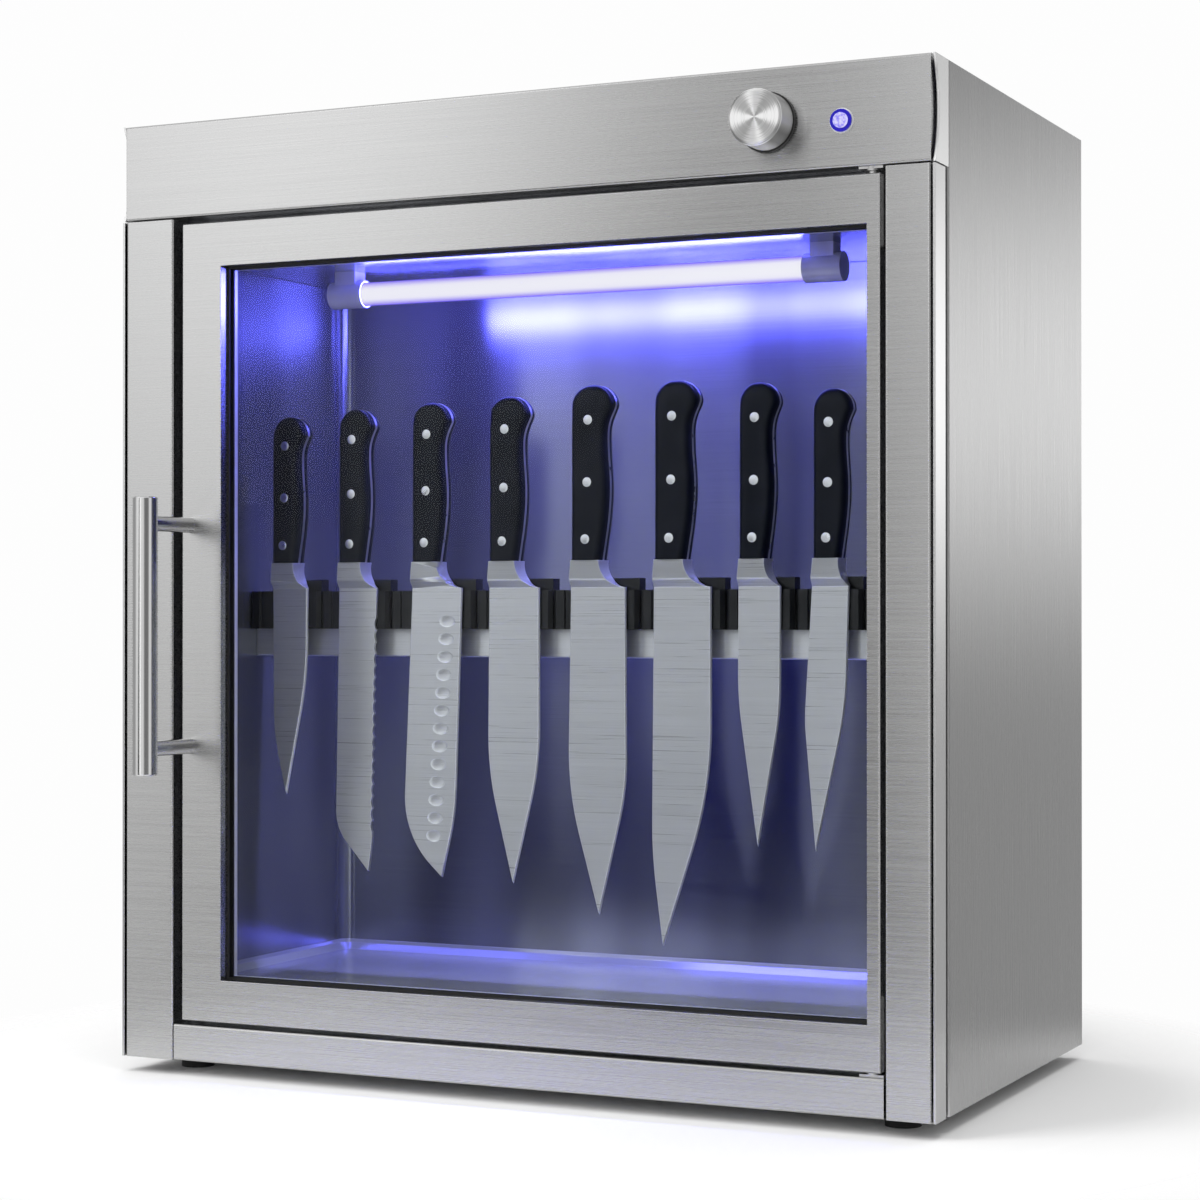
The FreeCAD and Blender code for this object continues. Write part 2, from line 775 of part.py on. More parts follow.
def hinge_pivots():
    """Door pivots: a leaf down the jamb and an arm that carries the pin and its thrust collar."""
    left = right_jamb - bracket_reach
    path = [(right_jamb, header_z - leaf_height), (right_jamb, header_z), (left, header_z)]
    angle = folded("xz", path, bracket_sheet, leaf_front, leaf_back)
    under = header_z - bracket_sheet
    arm = block(left, right_jamb - bracket_sheet, bracket_front, leaf_front, under, header_z)
    profile = [(0, header_z - pin_length), (pin_radius, header_z - pin_length),
               (pin_radius, under - collar_height), (collar_radius, under - collar_height),
               (collar_radius, header_z), (0, header_z)]
    pin = turned("z", profile, Vector(pivot_x, pivot_depth, 0))
    return top_and_bottom(angle.fuse([arm, pin]).removeSplitter(), (rail_height + header_z) / 2)


def hinge_bushes():
    """Bearing blocks in the door's corners that turn on the pins."""
    top = door_top - door_sheet
    bush = block(pivot_x - bush_half_width, pivot_x + bush_half_width, door_sheet,
                 pivot_depth + bush_half_width, top - bush_height, top)
    bush = bush.cut(rod("z", pin_radius + pin_clearance, 0, body_height, Vector(pivot_x, pivot_depth, 0)))
    return top_and_bottom(bush, (door_bottom + door_top) / 2)


def timer_body():
    """Mechanical timer behind the fascia, bored for its shaft."""
    case = block(knob_x - timer_width / 2, knob_x + timer_width / 2, frame_sheet, frame_sheet + timer_depth,
                 knob_z - timer_height / 2, knob_z + timer_height / 2)
    return case.cut(rod("y", shaft_radius + pin_clearance, 0, timer_depth / 2, Vector(knob_x, 0, knob_z)))


def timer_shaft():
    return rod("y", shaft_radius, -knob_gap, timer_depth / 2, Vector(knob_x, 0, knob_z))


def timer_knob():
    """Turned aluminium knob with a chamfered rim."""
    profile = [(0, -knob_depth), (knob_radius - knob_chamfer, -knob_depth),
               (knob_radius, -knob_depth + knob_chamfer), (knob_radius, knob_base), (0, knob_base)]
    return turned("y", profile, Vector(knob_x, 0, knob_z))


def knob_skirt():
    """Black plate under the knob that turns with it."""
    return rod("y", knob_skirt_radius, knob_base, -knob_gap, Vector(knob_x, 0, knob_z))


def pilot_bezel():
    """Chrome ring of the pilot lamp."""
    centre = Vector(pilot_x, 0, pilot_z)
    return rod("y", pilot_radius, -pilot_proud, 0, centre).cut(
        rod("y", pilot_lens_radius, -pilot_proud, 0, centre))


def pilot_lens():
    """Lens of the pilot lamp, proud of its ring, with the lamp's barrel behind the fascia."""
    front = -pilot_proud - pilot_dome
    return rod("y", pilot_lens_radius, front, pilot_body_depth, Vector(pilot_x, 0, pilot_z))


def ballast():
    """Lamp ballast on the chamber's ceiling, in the header space, with an ear at each end."""
    x0 = lamp_x - ballast_length / 2
    x1 = lamp_x + ballast_length / 2
    top = service_z + ballast_height
    section = [(ballast_y, service_z), (ballast_y + ballast_width, service_z),
               (ballast_y + ballast_width, top, ballast_round), (ballast_y, top, ballast_round)]
    case = prism("yz", section, x0, x1)
    foot = block(x0 - ballast_ear, x1 + ballast_ear, ballast_y + ballast_foot_inset,
                 ballast_y + ballast_width - ballast_foot_inset, service_z, service_z + ballast_foot_height)
    return case.fuse(foot).removeSplitter()


def terminal_block():
    """Row of screw terminals beside the ballast."""
    outline = [(ballast_y, service_z), (ballast_y + terminal_width, service_z),
               (ballast_y + terminal_width, service_z + terminal_height / 2),
               (ballast_y + terminal_width - terminal_shoulder, service_z + terminal_height),
               (ballast_y + terminal_shoulder, service_z + terminal_height),
               (ballast_y, service_z + terminal_height / 2)]
    way = prism("yz", outline, terminal_x, terminal_x + terminal_pitch - terminal_gap)
    row = block(terminal_x, terminal_x + terminal_ways * terminal_pitch - terminal_gap,
                ballast_y + terminal_base_inset, ballast_y + terminal_width - terminal_base_inset,
                service_z, service_z + terminal_height / 2)
    for i in range(terminal_ways):
        copy = way.copy()
        copy.translate(Vector(i * terminal_pitch, 0, 0))
        row = row.fuse(copy)
    return row.removeSplitter()


def inlet_shell(start, end, shrink=0):
    """The inlet's outline, with its two upper corners cut off, as a solid."""
    half_w = inlet_width / 2 - shrink
    half_h = inlet_height / 2 - shrink
    shoulder = inlet_z + half_h - inlet_corner
    corner_x = half_w - inlet_corner
    outline = [(inlet_x - half_w, inlet_z - half_h), (inlet_x + half_w, inlet_z - half_h),
               (inlet_x + half_w, shoulder), (inlet_x + corner_x, inlet_z + half_h),
               (inlet_x - corner_x, inlet_z + half_h), (inlet_x - half_w, shoulder)]
    return prism("xz", outline, start, end)


def mains_inlet():
    """Appliance inlet in its plate, with its three pins."""
    half_w = inlet_width / 2 + inlet_flange
    half_h = inlet_height / 2 + inlet_flange / 2
    bottom = body_depth - inlet_depth
    flange = prism("xz", rectangle(inlet_x - half_w, inlet_x + half_w, inlet_z - half_h, inlet_z + half_h),
                   back_panel_y, body_depth)
    shell = inlet_shell(bottom, body_depth).fuse(flange)
    shell = shell.cut(inlet_shell(bottom + 2 * inlet_wall, body_depth, inlet_wall))
    for side, rise in ((-1, 0), (0, inlet_pin_rise), (1, 0)):
        x = inlet_x + side * inlet_pin_pitch
        pin = block(x - inlet_pin_width / 2, x + inlet_pin_width / 2, bottom + inlet_wall,
                    bottom + inlet_wall + inlet_pin_length, inlet_z + rise - inlet_pin_height / 2,
                    inlet_z + rise + inlet_pin_height / 2)
        shell = shell.fuse(pin)
    return shell.removeSplitter()


def feet():
    return [rod("z", foot_radius, -foot_height, 0, place) for place in foot_places()]


def blade_outline(knife):
    """Corners of a blade seen from the front, from the spine's heel round to the edge's heel."""
    corners = [(0, 0)] + knife["blade"] + [(knife["width"], 0)]
    return [(knife["spine_x"] + corner[0], heel_z - corner[1]) + tuple(corner[2:]) for corner in corners]


def ground_blade(knife):
    """The flat blade, either serrated or ground to its cutting edge from both faces."""
    outline = blade_outline(knife)
    flat = prism("xz", outline, blade_front, blade_back)
    if knife.get("serrated"):
        return flat.cut(teeth(outline))
    ground = [edge for edge in flat.Edges
              if edge.BoundBox.YLength < 1e-6 and is_cutting(edge, outline[-2], outline[-3])]
    return flat.makeChamfer(bevel, ground)


def is_cutting(edge, corner, tip):
    """Whether an outline edge lies between the tip and the heel on the side of the cutting edge."""
    middle = edge.valueAt((edge.FirstParameter + edge.LastParameter) / 2)
    share = (middle.z - tip[1]) / (heel_z - tip[1])
    return middle.z < heel_z - 1 and middle.x > tip[0] + share * (corner[0] - tip[0]) / 2


def teeth(outline):
    """Round cutters that leave a serrated edge above the rounding of the tip."""
    corner = outline[-2]
    heel = outline[-1]
    radius = (tooth_pitch ** 2 / 4 + tooth_depth ** 2) / (2 * tooth_depth)
    count = int((heel[1] - corner[1]) / tooth_pitch) - 3
    cutters = []
    for i in range(count):
        z = heel[1] - (i + 3) * tooth_pitch
        x = heel[0] + (corner[0] - heel[0]) * (heel[1] - z) / (heel[1] - corner[1])
        cutters.append(rod("y", radius, blade_front, blade_back, Vector(x + radius - tooth_depth, 0, z)))
    return cutters


def bolster(knife):
    """Forged neck between handle and blade: flared to the heel, thinning down to the blade."""
    left = knife["spine_x"]
    neck = left + spine_setback + neck_share * knife["grip"]
    heel = left + knife["width"]
    rise = handle_bottom_z - heel_z
    flare = Part.Arc(Vector(neck, 0, handle_bottom_z),
                     Vector(neck + (heel - neck) * 0.25, 0, heel_z + rise * 0.33),
                     Vector(heel, 0, heel_z)).toShape()
    shoulder = Part.makePolygon([Vector(heel, 0, heel_z), Vector(left, 0, heel_z),
                                 Vector(left + spine_setback, 0, handle_bottom_z),
                                 Vector(neck, 0, handle_bottom_z)])
    front_view = Part.Face(Part.Wire([flare] + shoulder.Edges)).extrude(Vector(0, 2 * blade_y, 0))
    thick = grip_thickness / 2 - 1
    thin = blade_thickness / 2
    side_view = prism("yz", [(blade_y - thin, heel_z), (blade_y + thin, heel_z),
                             (blade_y + thin + bolster_lip, heel_z + bolster_lip, 3),
                             (blade_y + thick, handle_bottom_z), (blade_y - thick, handle_bottom_z),
                             (blade_y - thin - bolster_lip, heel_z + bolster_lip, 3)], left - 1, heel + 1)
    return front_view.common(side_view)


def grip_outline(knife):
    """Front view of a handle: straight back, round butt with a hook, waist, swell and narrow neck."""
    height = knife["handle"]
    width = knife["grip"]
    left = knife["spine_x"] + spine_setback
    shoulder = 1 - butt_height / height
    corners = [(0, 0)]
    for step in range(butt_steps + 1):
        angle = math.pi * (1 - step / butt_steps)
        across = hook_share / 2 * (1 + math.cos(angle))
        corners.append((across, shoulder + (1 - shoulder) * math.sin(angle)))
    corners += [(0.95, 0.78), (0.93, 0.66), (1.0, 0.45), (0.96, 0.25), (neck_share, 0)]
    return [(left + across * width, handle_bottom_z + up * height) for across, up in corners]


def tang(knife):
    """Flat steel inside the handle."""
    left = knife["spine_x"] + spine_setback
    return block(left + tang_inset, left + neck_share * knife["grip"] - tang_edge, blade_front, blade_back,
                 handle_bottom_z, handle_bottom_z + tang_share * knife["handle"])


def knife_handle(knife):
    """Moulded handle round the tang."""
    front = blade_y - grip_thickness / 2
    grip = prism("xz", grip_outline(knife), front, front + grip_thickness)
    rims = [edge for edge in grip.Edges
            if edge.BoundBox.YLength < 1e-6 and edge.BoundBox.ZMax > handle_bottom_z + 1]
    return grip.makeChamfer(grip_round, rims).cut(tang(knife))


def knife_blade(knife):
    """Blade, bolster and tang in one forging."""
    return ground_blade(knife).fuse([bolster(knife), tang(knife)]).removeSplitter()


def write(name, shape):
    """Move a piece into the row's frame and save it."""
    group = Part.makeCompound(shape) if isinstance(shape, list) else shape
    front_y = handle_reach + handle_radius - (body_depth + handle_reach + handle_radius) / 2
    group = group.copy()
    group.translate(Vector(0, front_y, foot_height))
    group.exportStep(os.path.join("parts", name + ".step"))


pieces = [left_side_panel, right_side_panel, top_panel, base_pan, back_panel, service_cover, inlet_plate,
          left_stile, right_stile, frame_sides, bottom_rail, control_fascia, fascia_end_caps, frame_gasket, rebate_frame,
          liner_wrap, liner_floor, liner_ceiling, lamp_tube, lamp_caps, lamp_holders, rack_blocks,
          rack_magnets, rack_strip, door_skin, door_glass, glass_gasket, door_backing, door_seal,
          handle_bar, handle_posts, hinge_pivots, hinge_bushes, timer_body, timer_shaft, timer_knob,
          knob_skirt, pilot_bezel, pilot_lens, ballast, terminal_block, mains_inlet, feet]

os.makedirs("parts", exist_ok=True)
for piece in pieces:
    write(piece.__name__, piece())
for knife in knives:
    write(knife["name"] + "_blade", knife_blade(knife))
    write(knife["name"] + "_handle", knife_handle(knife))
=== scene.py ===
import math

import bmesh
import bpy
from mathutils import Matrix, Vector


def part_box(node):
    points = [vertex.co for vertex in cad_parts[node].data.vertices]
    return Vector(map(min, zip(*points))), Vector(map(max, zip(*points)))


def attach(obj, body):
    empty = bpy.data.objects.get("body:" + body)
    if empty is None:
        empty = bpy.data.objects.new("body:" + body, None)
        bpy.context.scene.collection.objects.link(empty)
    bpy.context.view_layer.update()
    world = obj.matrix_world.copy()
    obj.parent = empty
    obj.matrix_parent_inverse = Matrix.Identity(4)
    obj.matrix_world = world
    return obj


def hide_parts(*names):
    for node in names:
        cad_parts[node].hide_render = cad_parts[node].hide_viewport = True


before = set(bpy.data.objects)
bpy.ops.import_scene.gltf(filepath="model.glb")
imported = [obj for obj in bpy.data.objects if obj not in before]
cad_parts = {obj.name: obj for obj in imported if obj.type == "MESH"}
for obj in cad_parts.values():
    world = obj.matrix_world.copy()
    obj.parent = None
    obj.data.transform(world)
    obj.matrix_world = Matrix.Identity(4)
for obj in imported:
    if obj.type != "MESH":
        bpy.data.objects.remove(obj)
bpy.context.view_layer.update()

# The photograph's camera: its place in metres in the part's frame, angles in degrees, lens in millimetres.
CAMERA_PLACE = (0.76678, -1.61043, 0.30420)
CAMERA_YAW = 25.249
CAMERA_PITCH = 0.318
CAMERA_LENS = 80.18
CAMERA_SENSOR = 36.0

FLOOR_SIZE = 3.0
# The floor is solid up to the first distance from the middle and gone at the second.
FLOOR_SOLID = 0.37
FLOOR_END = 0.5
KNIVES = ("utility_knife", "bread_knife", "santoku_knife", "carving_knife", "chef_knife", "large_chef_knife",
          "slicing_knife", "boning_knife")

# Right-hand side of a handle, from the bolster up to its shoulder, as shares of the width at its
# swell and of its height. The left-hand side is straight, and the butt above is half an ellipse.
GRIP_SIDE = [(0.79, 0.0), (0.86, 0.1), (0.93, 0.2), (0.985, 0.32), (1.0, 0.42), (0.985, 0.5), (0.95, 0.6),
             (0.935, 0.7), (0.955, 0.76), (1.02, 0.81), (1.12, 0.858)]
# Full width of a handle at its hooked butt, as a share of the same width, and the butt's height.
GRIP_HOOK = 1.16
GRIP_BUTT = 0.013
GRIP_BUTT_STEPS = 9
GRIP_BUTT_ANGLE = 86.0
GRIP_BUTT_DEPTH_POWER = 0.4
# Power of the rounded section: 2 is an ellipse, and more is nearer to a rectangle.
GRIP_SQUARENESS = 4.6
GRIP_SIDES = 40

RIVET_RADIUS = 0.0031
# Shares of a handle's width and height.
RIVET_PLACES = [(0.43, 0.12), (0.485, 0.445), (0.51, 0.8)]
RIVET_PROUD = 0.0003
TANG_PROUD = 0.00015
TANG_THICKNESS = 0.0024

BOLSTER_ROUNDING = 0.0028
BOLSTER_STEPS = 5
# Edges of the bolster that turn by more than this many radians are rounded.
BOLSTER_SHARP = 0.6
SAME_PLACE = 1e-5
# A blade face smaller than this, in square metres, is part of a rounded edge or of a hollow.
ROUNDED_FACE = 2.0e-5
# A face whose normal is this close to the Y axis lies in one of a blade's two flat sides.
FLAT_SIDE = 0.999

DIMPLE_COUNT = 13
DIMPLE_SIZE = (0.0115, 0.0077)
DIMPLE_DEPTH = 0.00045
DIMPLE_FIRST = (-0.0825, 0.3001)
DIMPLE_LAST = (-0.0924, 0.1572)
DIMPLE_SIDES = 28
DIMPLE_RINGS = 14
# The rays that find the blade's face start here, in front of the whole part.
DIMPLE_RAY_Y = -1.0

TUBE_STRENGTH = 52.0
TUBE_COLOUR = (0.13, 0.13, 1.0)
GLOW_GAP = 0.004
GLOW_POWER = 0.9
GLOW_COLOUR = (0.4, 0.42, 1.0)
GLOW_SPREAD = 95.0

SCREW_HEAD = 0.0038
SCREW_RISE = 0.0012
SCREW_INSET = 0.008
SCREW_END_INSET = 0.032
SCREW_ROWS = 4
# Share of a quarter circle that a domed disc covers before its flat middle.
DOME_SHARE = 0.85

# Radius as a share of the bezel's, and metres from the fascia, round the section of the pilot's pale ring.
SEAT_PROFILE = [(0.96, 0.0), (0.98, -0.0009), (1.05, -0.0009), (1.12, 0.0)]
SEAT_STEPS = 48

# Changes per metre along a brush mark, and of the wide bands of painted reflection on the chamber's steel.
STREAK_RATE = 9.0
REFLECTION_BAND_RATE = 60.0
REFLECTION_BAND_STRETCH = 0.25
# How far the painted fan of light and dark wedges, a painted reflection on the knob's turned face, leaves its middle
# tone.
PAINTED_FAN_DEPTH = 0.3
PAINTED_FAN_WEDGES = 4.0
KNOB_EDGE = 0.0003
BEVEL_SAMPLES = 4
NOISE_ROUGHNESS = 0.65
# Changes per metre, and height in metres, of the fine grain in a surface.
GRAIN_RATE = 2500.0
GRAIN_HEIGHT = 0.0002
GLASS_IOR = 1.45
GLASS_ROUGHNESS = 0.02
# Agreement of the bevelled and the true normal where the painted highlight along an edge starts, and where it is
# full.
EDGE_HIGHLIGHT_START = 0.995
EDGE_HIGHLIGHT_FULL = 0.93


# ---------- Node helpers ----------

def nodes_of(material):
    material.use_nodes = True
    material.node_tree.nodes.clear()
    return material.node_tree.nodes, material.node_tree.links


def add(nodes, kind, **settings):
    node = nodes.new("ShaderNode" + kind)
    for name, value in settings.items():
        setattr(node, name, value)
    return node


def ramp(nodes, stops):
    """A colour ramp from (position, value or colour) stops."""
    node = nodes.new("ShaderNodeValToRGB")
    elements = node.color_ramp.elements
    while len(elements) < len(stops):
        elements.new(0.5)
    for element, (position, value) in zip(elements, stops):
        element.position = position
        rgb = value if isinstance(value, tuple) else (value, value, value)
        element.color = (*rgb, 1)
    return node


def brush_noise(nodes, links, along, fine, detail=4.0):
    """Noise drawn out along one axis of the object, as brushing leaves it."""
    coordinates = add(nodes, "TexCoord")
    mapping = add(nodes, "Mapping")
    mapping.inputs["Scale"].default_value = [STREAK_RATE if axis == along else fine for axis in "xyz"]
    noise = add(nodes, "TexNoise")
    noise.inputs["Scale"].default_value = 1.0
    noise.inputs["Detail"].default_value = detail
    noise.inputs["Roughness"].default_value = NOISE_ROUGHNESS
    links.new(coordinates.outputs["Object"], mapping.inputs["Vector"])
    links.new(mapping.outputs["Vector"], noise.inputs["Vector"])
    return noise


def cloud_noise(nodes, links, scale):
    """Soft noise for slow changes over a surface."""
    coordinates = add(nodes, "TexCoord")
    noise = add(nodes, "TexNoise")
    noise.inputs["Scale"].default_value = scale
    noise.inputs["Detail"].default_value = 2.0
    links.new(coordinates.outputs["Object"], noise.inputs["Vector"])
    return noise


def value_math(nodes, links, operation, first, second):
    """The output of a Math node on two inputs, each a number, a socket or None."""
    node = add(nodes, "Math", operation=operation)
    for socket, value in zip(node.inputs, (first, second)):
        if isinstance(value, (int, float)):
            socket.default_value = value
        elif value is not None:
            links.new(value, socket)
    return node.outputs["Value"]


def painted_edge_highlight(nodes, links, bevel):
    """Mask of the painted edge highlight: 1 along the edges, where the bevelled normal leaves the surface's own, and
    0 elsewhere.
    """
    surface = add(nodes, "NewGeometry")
    agree = add(nodes, "VectorMath", operation="DOT_PRODUCT")
    links.new(bevel.outputs["Normal"], agree.inputs[0])
    links.new(surface.outputs["Normal"], agree.inputs[1])
    highlight_mask = add(nodes, "MapRange")
    highlight_mask.inputs["From Min"].default_value = EDGE_HIGHLIGHT_START
    highlight_mask.inputs["From Max"].default_value = EDGE_HIGHLIGHT_FULL
    links.new(agree.outputs["Value"], highlight_mask.inputs["Value"])
    return highlight_mask.outputs["Result"]


# ---------- Materials ----------

def brushed(name, dark, light, roughness, along="x", fine=1700.0, aniso=0.6, turn=0.25, grain=0.04,
            edge=0.0006, metallic=1.0, rim=(0.72, 0.72, 0.74), painted_bands=0.0):
    """Brushed metal: streaks in colour, roughness and height; edges whose bevelled normal catches the light and
    which carry a painted highlight in the rim colour; and, where asked, wide bands of painted reflection.
    """
    material = bpy.data.materials.new(name)
    nodes, links = nodes_of(material)
    output = add(nodes, "OutputMaterial")
    shader = add(nodes, "BsdfPrincipled")
    shader.inputs["Metallic"].default_value = metallic
    shader.inputs["Anisotropic"].default_value = aniso
    shader.inputs["Anisotropic Rotation"].default_value = turn
    streaks = brush_noise(nodes, links, along, fine)
    colour = ramp(nodes, [(0.3, dark), (0.7, light)])
    links.new(streaks.outputs["Fac"], colour.inputs["Fac"])
    rough = ramp(nodes, [(0.25, roughness * 0.85), (0.75, roughness * 1.15)])
    links.new(streaks.outputs["Fac"], rough.inputs["Fac"])
    links.new(rough.outputs["Color"], shader.inputs["Roughness"])
    tangent = add(nodes, "Tangent", direction_type="RADIAL", axis="Z")
    links.new(tangent.outputs["Tangent"], shader.inputs["Tangent"])
    bevel = add(nodes, "Bevel", samples=BEVEL_SAMPLES)
    bevel.inputs["Radius"].default_value = edge
    tone = colour.outputs["Color"]
    # Wide vertical bands, lighter and darker, painted into the colour as reflections.
    if painted_bands:
        reflection_bands = brush_noise(nodes, links, "z", REFLECTION_BAND_RATE, detail=1.0)
        reflection_bands.inputs["Scale"].default_value = REFLECTION_BAND_STRETCH
        shade = ramp(nodes, [(0.38, 1 - painted_bands), (0.62, 1 + painted_bands)])
        links.new(reflection_bands.outputs["Fac"], shade.inputs["Fac"])
        painted_banded = add(nodes, "Mix", data_type="RGBA", blend_type="MULTIPLY")
        painted_banded.inputs["Factor"].default_value = 1.0
        links.new(tone, painted_banded.inputs["A"])
        links.new(shade.outputs["Color"], painted_banded.inputs["B"])
        tone = painted_banded.outputs["Result"]
    # Paint a highlight of the rim colour along the edges.
    edge_highlighted = add(nodes, "Mix", data_type="RGBA")
    links.new(painted_edge_highlight(nodes, links, bevel), edge_highlighted.inputs["Factor"])
    links.new(tone, edge_highlighted.inputs["A"])
    edge_highlighted.inputs["B"].default_value = (*rim, 1)
    links.new(edge_highlighted.outputs["Result"], shader.inputs["Base Color"])
    bump = add(nodes, "Bump")
    bump.inputs["Strength"].default_value = grain
    bump.inputs["Distance"].default_value = GRAIN_HEIGHT
    links.new(streaks.outputs["Fac"], bump.inputs["Height"])
    links.new(bevel.outputs["Normal"], bump.inputs["Normal"])
    links.new(bump.outputs["Normal"], shader.inputs["Normal"])
    links.new(shader.outputs["BSDF"], output.inputs["Surface"])
    return material


def spun(name, dark, light, roughness):
    """Metal faced on a lathe: fine rings round the Y axis, which fan the light out in wedges, and light and dark
    wedges painted into its colour as reflections.
    """
    material = bpy.data.materials.new(name)
    nodes, links = nodes_of(material)
    output = add(nodes, "OutputMaterial")
    shader = add(nodes, "BsdfPrincipled")
    shader.inputs["Metallic"].default_value = 1.0
    shader.inputs["Roughness"].default_value = roughness
    shader.inputs["Anisotropic"].default_value = 0.95
    shader.inputs["Anisotropic Rotation"].default_value = 0.25
    coordinates = add(nodes, "TexCoord")
    centred = add(nodes, "VectorMath", operation="SUBTRACT")
    centred.inputs[1].default_value = (0.5, 0.5, 0.5)
    flat = add(nodes, "VectorMath", operation="MULTIPLY")
    flat.inputs[1].default_value = (1.0, 0.0, 1.0)
    radius = add(nodes, "VectorMath", operation="LENGTH")
    rings = add(nodes, "TexNoise", noise_dimensions="1D")
    rings.inputs["Scale"].default_value = 70.0
    rings.inputs["Detail"].default_value = 3.0
    links.new(coordinates.outputs["Generated"], centred.inputs[0])
    links.new(centred.outputs["Vector"], flat.inputs[0])
    links.new(flat.outputs["Vector"], radius.inputs[0])
    links.new(radius.outputs["Value"], rings.inputs["W"])
    sides = add(nodes, "SeparateXYZ")
    links.new(centred.outputs["Vector"], sides.inputs["Vector"])
    round_face = value_math(nodes, links, "ARCTAN2", sides.outputs["Z"], sides.outputs["X"])
    # Light and dark wedges round the middle, painted into the colour as reflections.
    fan = value_math(nodes, links, "COSINE", value_math(nodes, links, "MULTIPLY", round_face, PAINTED_FAN_WEDGES), None)
    painted_sheen = value_math(nodes, links, "MULTIPLY", fan, PAINTED_FAN_DEPTH)
    shade = value_math(nodes, links, "ADD", rings.outputs["Fac"], painted_sheen)
    colour = ramp(nodes, [(0.3, dark), (0.7, light)])
    links.new(shade, colour.inputs["Fac"])
    links.new(colour.outputs["Color"], shader.inputs["Base Color"])
    tangent = add(nodes, "Tangent", direction_type="RADIAL", axis="Y")
    links.new(tangent.outputs["Tangent"], shader.inputs["Tangent"])
    bevel = add(nodes, "Bevel", samples=BEVEL_SAMPLES)
    bevel.inputs["Radius"].default_value = KNOB_EDGE
    links.new(bevel.outputs["Normal"], shader.inputs["Normal"])
    links.new(shader.outputs["BSDF"], output.inputs["Surface"])
    return material


def plain(name, dark, light, roughness, metallic=0.0, scale=60.0, grain=0.0, coat=0.0, specular=0.5):
    """A plastic, rubber, paint or bright metal with a slow change over its surface."""
    material = bpy.data.materials.new(name)
    nodes, links = nodes_of(material)
    output = add(nodes, "OutputMaterial")
    shader = add(nodes, "BsdfPrincipled")
    shader.inputs["Metallic"].default_value = metallic
    shader.inputs["Coat Weight"].default_value = coat
    shader.inputs["Specular IOR Level"].default_value = specular
    noise = cloud_noise(nodes, links, scale)
    colour = ramp(nodes, [(0.35, dark), (0.65, light)])
    links.new(noise.outputs["Fac"], colour.inputs["Fac"])
    links.new(colour.outputs["Color"], shader.inputs["Base Color"])
    rough = ramp(nodes, [(0.3, roughness * 0.9), (0.7, roughness * 1.1)])
    links.new(noise.outputs["Fac"], rough.inputs["Fac"])
    links.new(rough.outputs["Color"], shader.inputs["Roughness"])
    if grain:
        pits = cloud_noise(nodes, links, GRAIN_RATE)
        bump = add(nodes, "Bump")
        bump.inputs["Strength"].default_value = grain
        bump.inputs["Distance"].default_value = GRAIN_HEIGHT
        links.new(pits.outputs["Fac"], bump.inputs["Height"])
        links.new(bump.outputs["Normal"], shader.inputs["Normal"])
    links.new(shader.outputs["BSDF"], output.inputs["Surface"])
    return material


def spangled(name, dark, light, roughness, size):
    """Galvanised sheet: flat crystals, each a slightly different grey and gloss."""
    material = bpy.data.materials.new(name)
    nodes, links = nodes_of(material)
    output = add(nodes, "OutputMaterial")
    shader = add(nodes, "BsdfPrincipled")
    shader.inputs["Metallic"].default_value = 1.0
    coordinates = add(nodes, "TexCoord")
    crystals = add(nodes, "TexVoronoi")
    crystals.inputs["Scale"].default_value = 1 / size
    links.new(coordinates.outputs["Object"], crystals.inputs["Vector"])
    parts = add(nodes, "SeparateColor")
    links.new(crystals.outputs["Color"], parts.inputs["Color"])
    colour = ramp(nodes, [(0.0, dark), (1.0, light)])
    links.new(parts.outputs["Red"], colour.inputs["Fac"])
    links.new(colour.outputs["Color"], shader.inputs["Base Color"])
    rough = ramp(nodes, [(0.0, roughness * 0.85), (1.0, roughness * 1.15)])
    links.new(parts.outputs["Green"], rough.inputs["Fac"])
    links.new(rough.outputs["Color"], shader.inputs["Roughness"])
    links.new(shader.outputs["BSDF"], output.inputs["Surface"])
    return material


def clear_glass(name, tint, reflect):
    """Thin glass that lets light straight through and reflects a little at its surface."""
    material = bpy.data.materials.new(name)
    nodes, links = nodes_of(material)
    output = add(nodes, "OutputMaterial")
    through = add(nodes, "BsdfTransparent")
    noise = cloud_noise(nodes, links, scale=8.0)
    colour = ramp(nodes, [(0.3, tint), (0.7, tuple(min(1.0, c * 1.01) for c in tint))])
    links.new(noise.outputs["Fac"], colour.inputs["Fac"])
    links.new(colour.outputs["Color"], through.inputs["Color"])
    shine = add(nodes, "BsdfGlossy")
    shine.inputs["Roughness"].default_value = GLASS_ROUGHNESS
    fresnel = add(nodes, "Fresnel")
    fresnel.inputs["IOR"].default_value = GLASS_IOR
    weight = add(nodes, "Math", operation="MULTIPLY")
    weight.inputs[1].default_value = reflect
    links.new(fresnel.outputs["Fac"], weight.inputs[0])
    mix = add(nodes, "MixShader")
    links.new(weight.outputs["Value"], mix.inputs["Fac"])
    links.new(through.outputs["BSDF"], mix.inputs[1])
    links.new(shine.outputs["BSDF"], mix.inputs[2])
    links.new(mix.outputs["Shader"], output.inputs["Surface"])
    return material


